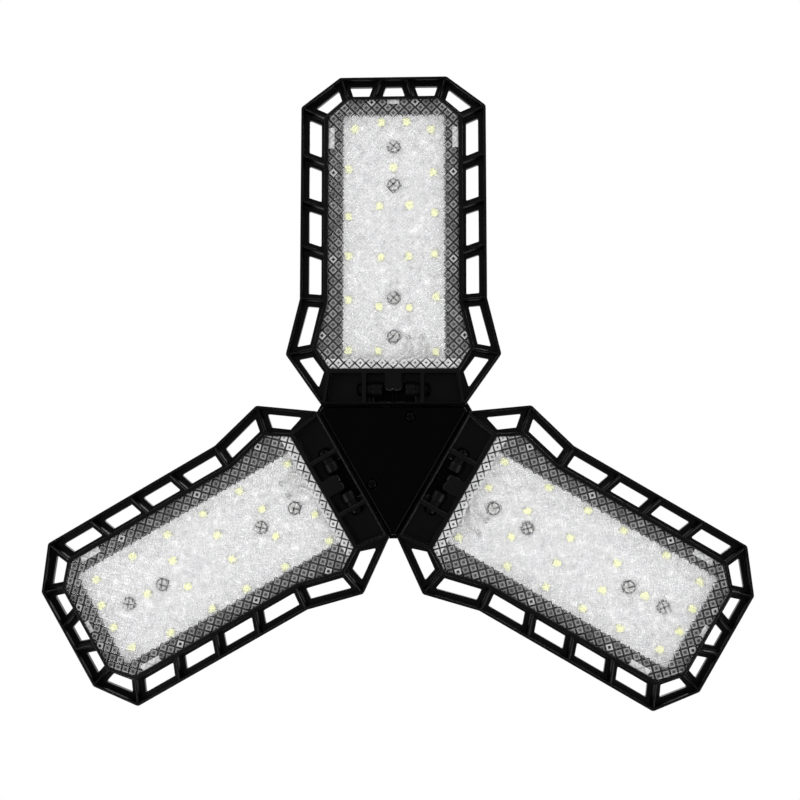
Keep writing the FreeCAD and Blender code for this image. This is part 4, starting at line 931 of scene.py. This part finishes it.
TURNED_SEGMENTS = 96
LAMINATE_EDGE, PLUG_EDGE, CAN_EDGE, CHIP_EDGE = 0.1 * MM, 0.15 * MM, 0.25 * MM, 0.15 * MM
CAN_AT = Vector((-7.5, 6.0, -47.0)) * MM
CAN_RADIUS = 5.0 * MM
CAN_END = 19.9 * MM                     # above its foot, where the bare end starts
BARE_REACH = 0.86 * CAN_RADIUS          # and how far the sleeve leaves it bare
STRIPE_FROM, STRIPE_HALF, DASH_HALF = -0.6 * CAN_RADIUS, 0.38 * CAN_RADIUS, 0.12 * CAN_RADIUS
DASH_PITCH = 5.0 * MM
CHOKE_AT = Matrix.Translation(Vector((7.0, 0.8, -38.0)) * MM) @ Matrix.Rotation(math.radians(-90), 4, "X")
BOBBIN_LINE = [                         # radius and height, millimetres, as in the other lines
    (0.0, 0.0), (6.3, 0.0), (6.5, 0.2), (6.5, 1.3), (6.3, 1.5), (4.7, 1.5), (4.7, 9.5), (6.3, 9.5),
    (6.5, 9.7), (6.5, 10.8), (6.3, 11.0), (2.4, 11.0), (2.3, 10.6), (0.0, 10.6)]
WINDING_TURNS = 13.0
WINDING_RADIUS, WINDING_WIRE = 5.08 * MM, 0.3 * MM
WINDING_START, WINDING_LONG = 1.82 * MM, 7.36 * MM
CONTROL_LEGS_UP, CONTROL_LEG_PITCH = -35.6, 0.95        # lowest leg of four, and the next
BRIDGE_LEGS_ACROSS, BRIDGE_LEG_PITCH = -9.6, 1.6
FUSE_X, FUSE_Y, FUSE_LOW, FUSE_HIGH = 6.5, 2.6, -22.0, -14.0
FUSE_BEND, MAINS_BEND = 0.5, 2.0        # of the resistor's legs and the mains leads
FUSE_LINE = [(0.0, 0.0), (0.9, 0.0), (1.4, 0.35), (1.6, 0.9), (1.55, 1.6), (1.36, 2.2), (1.36, 5.8),
             (1.55, 6.4), (1.6, 7.1), (1.4, 7.65), (0.9, 8.0), (0.0, 8.0)]
FUSE_BANDS = [(2.0, (0.20, 0.05, 0.02, 1)), (3.3, (0.02, 0.02, 0.02, 1)), (4.6, (0.55, 0.10, 0.02, 1)),
              (6.2, (0.45, 0.32, 0.08, 1))]     # height above the low end, colour
BAND_HALF = 0.35 * MM
LAMINATE_FACE = 0.8                     # y of the board's face
MAINS_LINES = [                         # x, y and z, to the shell and to the contact
    [(-4, 1.7, -18.5), (-4, 1.7, -2), (-9.2, 1.7, 4), (-9.2, 1.7, 11)],
    [(3, 1.7, -18.5), (3, 1.7, -4), (0, 0, 3), (0, 0, 23.2)],
]


def lathe(profile, segments=TURNED_SEGMENTS):
    """A closed turned form about the lamp's axis, from (radius, height) in millimetres in order."""
    form = bmesh.new()
    rings = []
    for radius, height in profile:
        turns = [math.tau * i / segments for i in range(segments)] if radius else [0.0]
        rings.append([form.verts.new(Vector((radius * math.cos(turn), radius * math.sin(turn), height)) * MM)
                      for turn in turns])
    for low, high in zip(rings, rings[1:] + rings[:1]):
        for i in range(segments):
            corners = [low[i % len(low)], low[(i + 1) % len(low)], high[(i + 1) % len(high)],
                       high[i % len(high)]]
            corners = list(dict.fromkeys(corners))
            if len(corners) > 2:
                form.faces.new(corners)
    bmesh.ops.recalc_face_normals(form, faces=form.faces)
    for face in form.faces:
        face.smooth = True
    return mesh_of(form, "turned")


def laminate(paint):
    """Green mask over copper tracks that stand out a little, with pale print dust."""
    spot = paint.node("ShaderNodeTexCoord", out="Object")
    flat = paint.node("ShaderNodeMapping", values={"Vector": spot, "Rotation": (math.pi / 2, 0.0, 0.0)})
    tracks = paint.node("ShaderNodeTexBrick", {"offset": 0.37}, {
        "Vector": flat, "Scale": 95.0, "Mortar Size": 0.06, "Mortar Smooth": 0.2}, out="Fac")
    grain = noise(paint, waves=900.0, detail=4.0)
    green = blended(tracks * 0.8 + 0.3 * grain, (0.012, 0.085, 0.025, 1), (0.035, 0.20, 0.06, 1))
    return principled(paint, Base_Color=green, Roughness=ranging(grain, 0.24, 0.44),
                      Normal=relief(paint, tracks, strength=0.5, depth=0.06 * MM))


def can_sleeve(paint):
    """Dark shrink sleeve with a pale dashed stripe; the can's aluminium end shows on top."""
    spot = paint.node("ShaderNodeTexCoord", out="Object")
    x, y, z = (axis_of(spot, name) - middle for name, middle in zip("XYZ", CAN_AT))
    end = (z > CAN_END) * (paint.maths("SQRT", x * x + y * y) < BARE_REACH)
    stripe = (x < STRIPE_FROM) * (abs(y) < STRIPE_HALF)
    dash = (abs(y) < DASH_HALF) * (paint.maths("FRACT", z / DASH_PITCH) > 0.5)
    scuffs = noise(paint, waves=600.0, detail=4.0)
    sleeve = blended(scuffs, (0.010, 0.014, 0.035, 1), (0.016, 0.022, 0.055, 1))
    striped = blended(stripe * (1 - dash), sleeve, (0.45, 0.47, 0.50, 1))
    return principled(
        paint, Base_Color=blended(end, striped, (0.62, 0.63, 0.64, 1)), Metallic=end * 0.9,
        Roughness=ranging(scuffs, 0.3, 0.55), Normal=relief(paint, scuffs, strength=0.3, depth=0.04 * MM))


def resistor_coat(paint):
    """Grey-green lacquer with four colour bands."""
    height = axis_of(paint.node("ShaderNodeTexCoord", out="Object"), "Z") - FUSE_LOW * MM
    lumps = noise(paint, waves=900.0, detail=3.0)
    coat = blended(lumps, (0.28, 0.40, 0.34, 1), (0.36, 0.50, 0.43, 1))
    for band, colour in FUSE_BANDS:
        coat = blended(abs(height - band * MM) < BAND_HALF, coat, colour)
    return principled(paint, Base_Color=coat, Roughness=ranging(lumps, 0.32, 0.52),
                      Normal=relief(paint, lumps, strength=0.3, depth=0.05 * MM))


def winding_tree():
    """The tree that winds a round wire into one tight layer."""
    tree, given = new_tree("winding", {
        "Turns": "Float", "Radius": "Float", "Long": "Float", "Wire": "Float", "Material": "Material"})
    work = Wire(tree)
    helix = work.node("GeometryNodeCurveSpiral", values={
        "Resolution": 40, "Rotations": given["Turns"], "Start Radius": given["Radius"],
        "End Radius": given["Radius"], "Height": given["Long"]})
    close_tree(in_material(swept(helix, given["Wire"], 8), given["Material"]))
    return tree


def blocks(spans, material):
    """Small boxes from pairs of opposite corners in millimetres."""
    form = bmesh.new()
    for low, high in spans:
        low, high = Vector(low) * MM, Vector(high) * MM
        size = Matrix.Diagonal((*(high - low), 1.0))
        bmesh.ops.create_cube(form, size=1.0, matrix=Matrix.Translation((low + high) / 2) @ size)
    return mesh_of(form, "blocks", material)


def moved(mesh, matrix, material):
    """The mesh in its place, in one material."""
    mesh.transform(matrix)
    mesh.materials.clear()
    mesh.materials.append(material)
    for face in mesh.polygons:
        face.material_index = 0
    return mesh


place("driver_laminate", softened("driver_board", LAMINATE_EDGE), "hub", "driver_laminate", ["driver_board"],
      material_of("green_laminate", laminate))
place("plug_block", softened("driver_socket", PLUG_EDGE), "hub", "socket_white", ["driver_socket"],
      material_of("plug_nylon", insulation((0.76, 0.74, 0.68, 1), (0.84, 0.82, 0.77, 1))))
place("smoothing_can", softened("driver_capacitor", CAN_EDGE), "hub", "capacitor_sleeve",
      ["driver_capacitor"], material_of("shrink_sleeve", can_sleeve))

bobbin = moved(lathe(BOBBIN_LINE), CHOKE_AT, material_of(
    "ferrite", grained_plastic((0.012, 0.012, 0.013, 1), (0.03, 0.03, 0.032, 1), gloss=0.5)))
winding = grown(winding_tree(), points_mesh("winding_start", []), {
    "Turns": WINDING_TURNS, "Radius": WINDING_RADIUS, "Long": WINDING_LONG, "Wire": WINDING_WIRE,
    "Material": material_of("enamelled_copper", mottled(        # darker where the varnish has run
        420.0, 3.0, (0.36, 0.10, 0.03, 1), (0.70, 0.27, 0.09, 1), gloss=(0.2, 0.4), coat=(0.3, 0.6),
        metal=0.8))})
winding.transform(CHOKE_AT @ Matrix.Translation((0, 0, WINDING_START)))
place("choke", one_mesh([bobbin, winding]), "hub", "winding_tape", ["driver_transformer"])

chips = softened("driver_chips", CHIP_EDGE)
chips.materials.append(material_of(
    "moulded_epoxy", grained_plastic((0.012, 0.012, 0.012, 1), (0.02, 0.02, 0.02, 1), gloss=0.45)))
legs = []
for i in range(4):                      # each leg is a flat shoulder and a foot to the board
    z = CONTROL_LEGS_UP + CONTROL_LEG_PITCH * i
    legs += [((0.3, -1.3, z), (1.2, -1.1, z + 0.4)), ((0.2, -1.3, z), (0.4, -0.8, z + 0.4)),
             ((5.8, -1.3, z), (6.7, -1.1, z + 0.4)), ((6.6, -1.3, z), (6.8, -0.8, z + 0.4))]
    x = BRIDGE_LEGS_ACROSS + BRIDGE_LEG_PITCH * i
    legs += [((x, -2.3, -23.4), (x + 0.7, -2.0, -21.9)), ((x, -2.1, -23.5), (x + 0.7, -0.8, -23.2))]
place("chips", one_mesh([chips, blocks(legs, solder)]), "hub", "chip_black", ["driver_chips"])

fuse = moved(lathe(FUSE_LINE, segments=32), Matrix.Translation(Vector((FUSE_X, FUSE_Y, FUSE_LOW)) * MM),
             material_of("resistor_coat", resistor_coat))
fuse_parts = [fuse]
for start, end in ((FUSE_LOW + 0.1, FUSE_LOW - 0.9), (FUSE_HIGH - 0.1, FUSE_HIGH - 1.0)):
    line = [(FUSE_X, FUSE_Y, start), (FUSE_X, FUSE_Y, end), (FUSE_X, LAMINATE_FACE, end)]
    fuse_parts.append(lead([Vector(point) * MM for point in line], CORE_RADIUS, FUSE_BEND, solder))
place("safety_resistor", one_mesh(fuse_parts), "hub", "resistor_body", ["fuse_resistor"])

red_lead = material_of("red_insulation", insulation((0.38, 0.012, 0.01, 1), (0.5, 0.025, 0.02, 1)))
mains = [lead([Vector(point) * MM for point in line], LEAD_RADIUS, MAINS_BEND, red_lead)
         for line in MAINS_LINES]
place("mains_wires", one_mesh(mains), "hub", "wire_red", ["mains_leads"])


# ======================================================================== screw cap
# The cap is a thin nickel-plated shell with a rolled 27 mm thread, crimped over the neck's
# spigot; a black glass insulator closes its end round a tinned, domed contact.

SKIRT_R, SKIRT_HIGH = 13.2, 4.0         # millimetres
THREAD_MEAN, THREAD_SWING = 12.70, 0.475
THREAD_PITCH = 3.63
THREAD_TURNS = 4.5
THREAD_END = SKIRT_HIGH + THREAD_PITCH * THREAD_TURNS
THREAD_RINGS = 96
RUN_IN = 1.6                            # the thread rises and falls away over this height
CREST_NARROW, CREST_SHARE = 0.16, 0.86  # second wave that narrows the crests, and the swing's share
CAP_TOP = 21.6
CAP_WALL = 0.5
INSULATOR_LINE = [(1.5, 19.0), (6.6, 19.0), (7.55, 21.1), (7.6, 22.0), (7.3, 22.5), (6.7, 23.2),
                  (6.0, 23.9), (5.6, 24.3), (5.2, 24.4), (1.5, 24.4)]
CONTACT_LINE = [(0.0, 23.2), (1.4, 23.2), (1.4, 24.4), (4.4, 24.4), (4.6, 24.6), (4.6, 25.0),
                (4.3, 25.3), (3.6, 25.6), (2.6, 25.85), (1.4, 25.97), (0.0, 26.0)]


def rolled_thread_tree():
    """The tree that rolls a thread into the turned shell it is given."""
    tree, given = new_tree("rolled_thread", {
        "Swing": "Float", "Pitch": "Float", "Start": "Float", "End": "Float", "Run In": "Float",
        "Material": "Material"})
    work = Wire(tree)
    spot = work.node("GeometryNodeInputPosition")
    x, y, z = (axis_of(spot, name) for name in "XYZ")
    phase = work.maths("ARCTAN2", y, x) - (z - given["Start"]) / given["Pitch"] * math.tau
    crest = work.maths("COSINE", phase) + CREST_NARROW * work.maths("COSINE", 2 * phase)
    rise = work.node("ShaderNodeClamp", values={"Value": (z - given["Start"]) / given["Run In"]})
    fall = work.node("ShaderNodeClamp", values={"Value": (given["End"] - z) / given["Run In"]})
    radius = work.maths("SQRT", x * x + y * y)
    share = given["Swing"] * CREST_SHARE * crest * rise * fall / radius
    offset = vector_of(work, x * share, y * share, 0.0)
    rolled = work.node("GeometryNodeSetPosition", values={"Geometry": given["Geometry"], "Offset": offset})
    close_tree(in_material(rolled, given["Material"]))
    return tree


def nickel(paint):
    """Nickel plate: warm grey metal, rolling marks round the shell, faint finger film."""
    film = noise(paint, waves=90.0, detail=4.0)
    marks = noise(paint, waves=700.0, stretch=(0.1, 0.1, 1.0))
    return principled(
        paint, Base_Color=blended(film, (0.58, 0.56, 0.52, 1), (0.70, 0.68, 0.64, 1)), Metallic=1.0,
        Roughness=ranging(film, 0.16, 0.32), Normal=relief(paint, marks, strength=0.12, depth=0.04 * MM))


thread_heights = [SKIRT_HIGH + (THREAD_END - SKIRT_HIGH) * i / THREAD_RINGS for i in range(THREAD_RINGS + 1)]
shell_line = [(SKIRT_R - 0.1, 0.0), (SKIRT_R, 0.1), (SKIRT_R, SKIRT_HIGH - 0.25), (SKIRT_R - 0.2, SKIRT_HIGH)]
shell_line += [(THREAD_MEAN, height) for height in thread_heights]
shell_line += [(THREAD_MEAN - 0.15, THREAD_END + 0.2), (10.2, CAP_TOP - 0.05), (9.9, CAP_TOP), (7.9, CAP_TOP),
               (7.65, CAP_TOP - 0.2), (7.65, CAP_TOP - CAP_WALL), (9.8, CAP_TOP - CAP_WALL - 0.05)]
shell_line += [(THREAD_MEAN - CAP_WALL, height) for height in reversed(thread_heights)]
shell_line += [(SKIRT_R - CAP_WALL, SKIRT_HIGH - 0.3), (SKIRT_R - CAP_WALL, 0.0)]
shell = grown(rolled_thread_tree(), lathe(shell_line), {
    "Swing": THREAD_SWING * MM, "Pitch": THREAD_PITCH * MM, "Start": SKIRT_HIGH * MM, "End": THREAD_END * MM,
    "Run In": RUN_IN * MM, "Material": material_of("nickel_plate", nickel)})
place("screw_cap", shell, "hub", "cap_nickel", ["screw_shell"])
place("cap_glass", lathe(INSULATOR_LINE), "hub", "insulator_black", ["cap_insulator"],
      material_of("black_glass", mottled(       # pressed glass with faint swirls
          240.0, 3.0, (0.006, 0.006, 0.007, 1), (0.014, 0.014, 0.016, 1), gloss=(0.06, 0.14),
          coat=(0.4, 0.6), bump=(0.2, 0.2 * MM))))
place("cap_contact", lathe(CONTACT_LINE), "hub", "contact_metal", ["centre_contact"], solder)


# ======================================================================== studio
# A pale floor far below the lamp, soft area lights round the camera, and a white surround
# that only the camera, mirrors and clear plastic see; the camera stands as in the photograph.

FOCAL_PIXELS = 1190.48
FRAME_PIXELS = 800
SENSOR_WIDE = 36.0                      # millimetres
CAMERA_TURNS = (-0.04353, 0.04576, -0.00174)        # about x, y and z, radians
CAMERA_SHIFT = Vector((-2.93179, 21.3671, 500.0))   # millimetres
FLOOR_LOW = -1.5                        # metres, as are the places below
FLOOR_SIZE = 4.0
LIGHT_WATTS = 5.7
LIT_SPOT = Vector((0, 0.03, -0.06))
LIGHTS = {                              # place, width, share of the watts
    "key": ((-0.9, 0.75, -0.95), 0.7, 1.25), "fill": ((0.95, 0.6, -0.9), 0.7, 0.95),
    "low": ((0.75, -0.95, -0.9), 0.7, 0.85), "side": ((-0.85, -0.9, -0.95), 0.7, 0.95),
    "top": ((0.3, -0.8, 1.2), 1.0, 1.3), "back": ((-0.9, 0.9, 0.9), 0.8, 0.9)}
AMBIENT = (0.58, 0.58, 0.58, 1)
MIRRORED = [                            # what gloss sees, from straight down to straight up
    (0.0, (0.015, 0.015, 0.015, 1)), (0.45, (0.06, 0.06, 0.06, 1)), (0.62, (0.75, 0.75, 0.75, 1)),
    (1.0, (1, 1, 1, 1))]


def pale_floor(paint):
    """Pale to the camera, and dim to all else, so that it throws little light up."""
    seen = paint.node("ShaderNodeLightPath", out="Is Camera Ray")
    cloud = noise(paint, waves=3.0, detail=4.0)
    dim = blended(cloud, (0.16, 0.16, 0.16, 1), (0.18, 0.18, 0.18, 1))
    return principled(paint, Base_Color=blended(seen, dim, (0.86, 0.86, 0.86, 1)),
                      Roughness=ranging(cloud, 0.6, 0.7))


floor_form = bmesh.new()
bmesh.ops.create_grid(floor_form, x_segments=1, y_segments=1, size=FLOOR_SIZE)
floor_mesh = mesh_of(floor_form, "floor", material_of("pale_floor", pale_floor))
floor_mesh.transform(Matrix.Translation((0, 0, FLOOR_LOW)))
floor = in_scene("floor", floor_mesh)

for name, (spot, size, share) in LIGHTS.items():
    light = bpy.data.lights.new(name, "AREA")
    light.shape = "DISK"
    light.size = size
    light.energy = LIGHT_WATTS * share
    lamp = in_scene(name, light)
    lamp.location = spot
    lamp.rotation_euler = (LIT_SPOT - Vector(spot)).to_track_quat("-Z", "Y").to_euler()

world = bpy.data.worlds.new("studio")
world.use_nodes = True
world.node_tree.nodes.clear()
sky = Wire(world.node_tree)
upward = axis_of(sky.node("ShaderNodeTexCoord", out="Generated"), "Z")
mirrored = sky.node("ShaderNodeValToRGB", {"stops": MIRRORED}, {"Fac": upward * 0.5 + 0.5})
seen_by = {kind: sky.node("ShaderNodeLightPath", out=f"Is {kind} Ray") for kind in
           ("Camera", "Glossy", "Transmission")}
air = blended(seen_by["Glossy"], AMBIENT, mirrored)
clear_view = sky.maths("MAXIMUM", seen_by["Camera"], seen_by["Transmission"])
sky.node("ShaderNodeOutputWorld", values={"Surface": sky.node("ShaderNodeBackground", values={
    "Color": blended(clear_view, air, (1, 1, 1, 1))})})
bpy.context.scene.world = world

rx, ry, rz = CAMERA_TURNS
to_camera = Matrix.Rotation(rz, 3, "Z") @ Matrix.Rotation(ry, 3, "Y") @ Matrix.Rotation(rx, 3, "X")
from_camera = to_camera.transposed()
camera_data = bpy.data.cameras.new("photo_camera")
camera_data.sensor_width = SENSOR_WIDE
camera_data.lens = SENSOR_WIDE * FOCAL_PIXELS / FRAME_PIXELS
camera_data.clip_start = 0.01
camera_data.clip_end = 20.0
camera = in_scene("photo_camera", camera_data)
axes = Matrix((from_camera @ Vector((1, 0, 0)), from_camera @ Vector((0, -1, 0)),
               from_camera @ Vector((0, 0, -1)))).transposed().to_4x4()
camera.matrix_world = Matrix.Translation(from_camera @ -CAMERA_SHIFT * MM + Vector((0, 0, FRONT))) @ axes
bpy.context.scene.camera = camera
bpy.context.scene.view_settings.view_transform = "Standard"
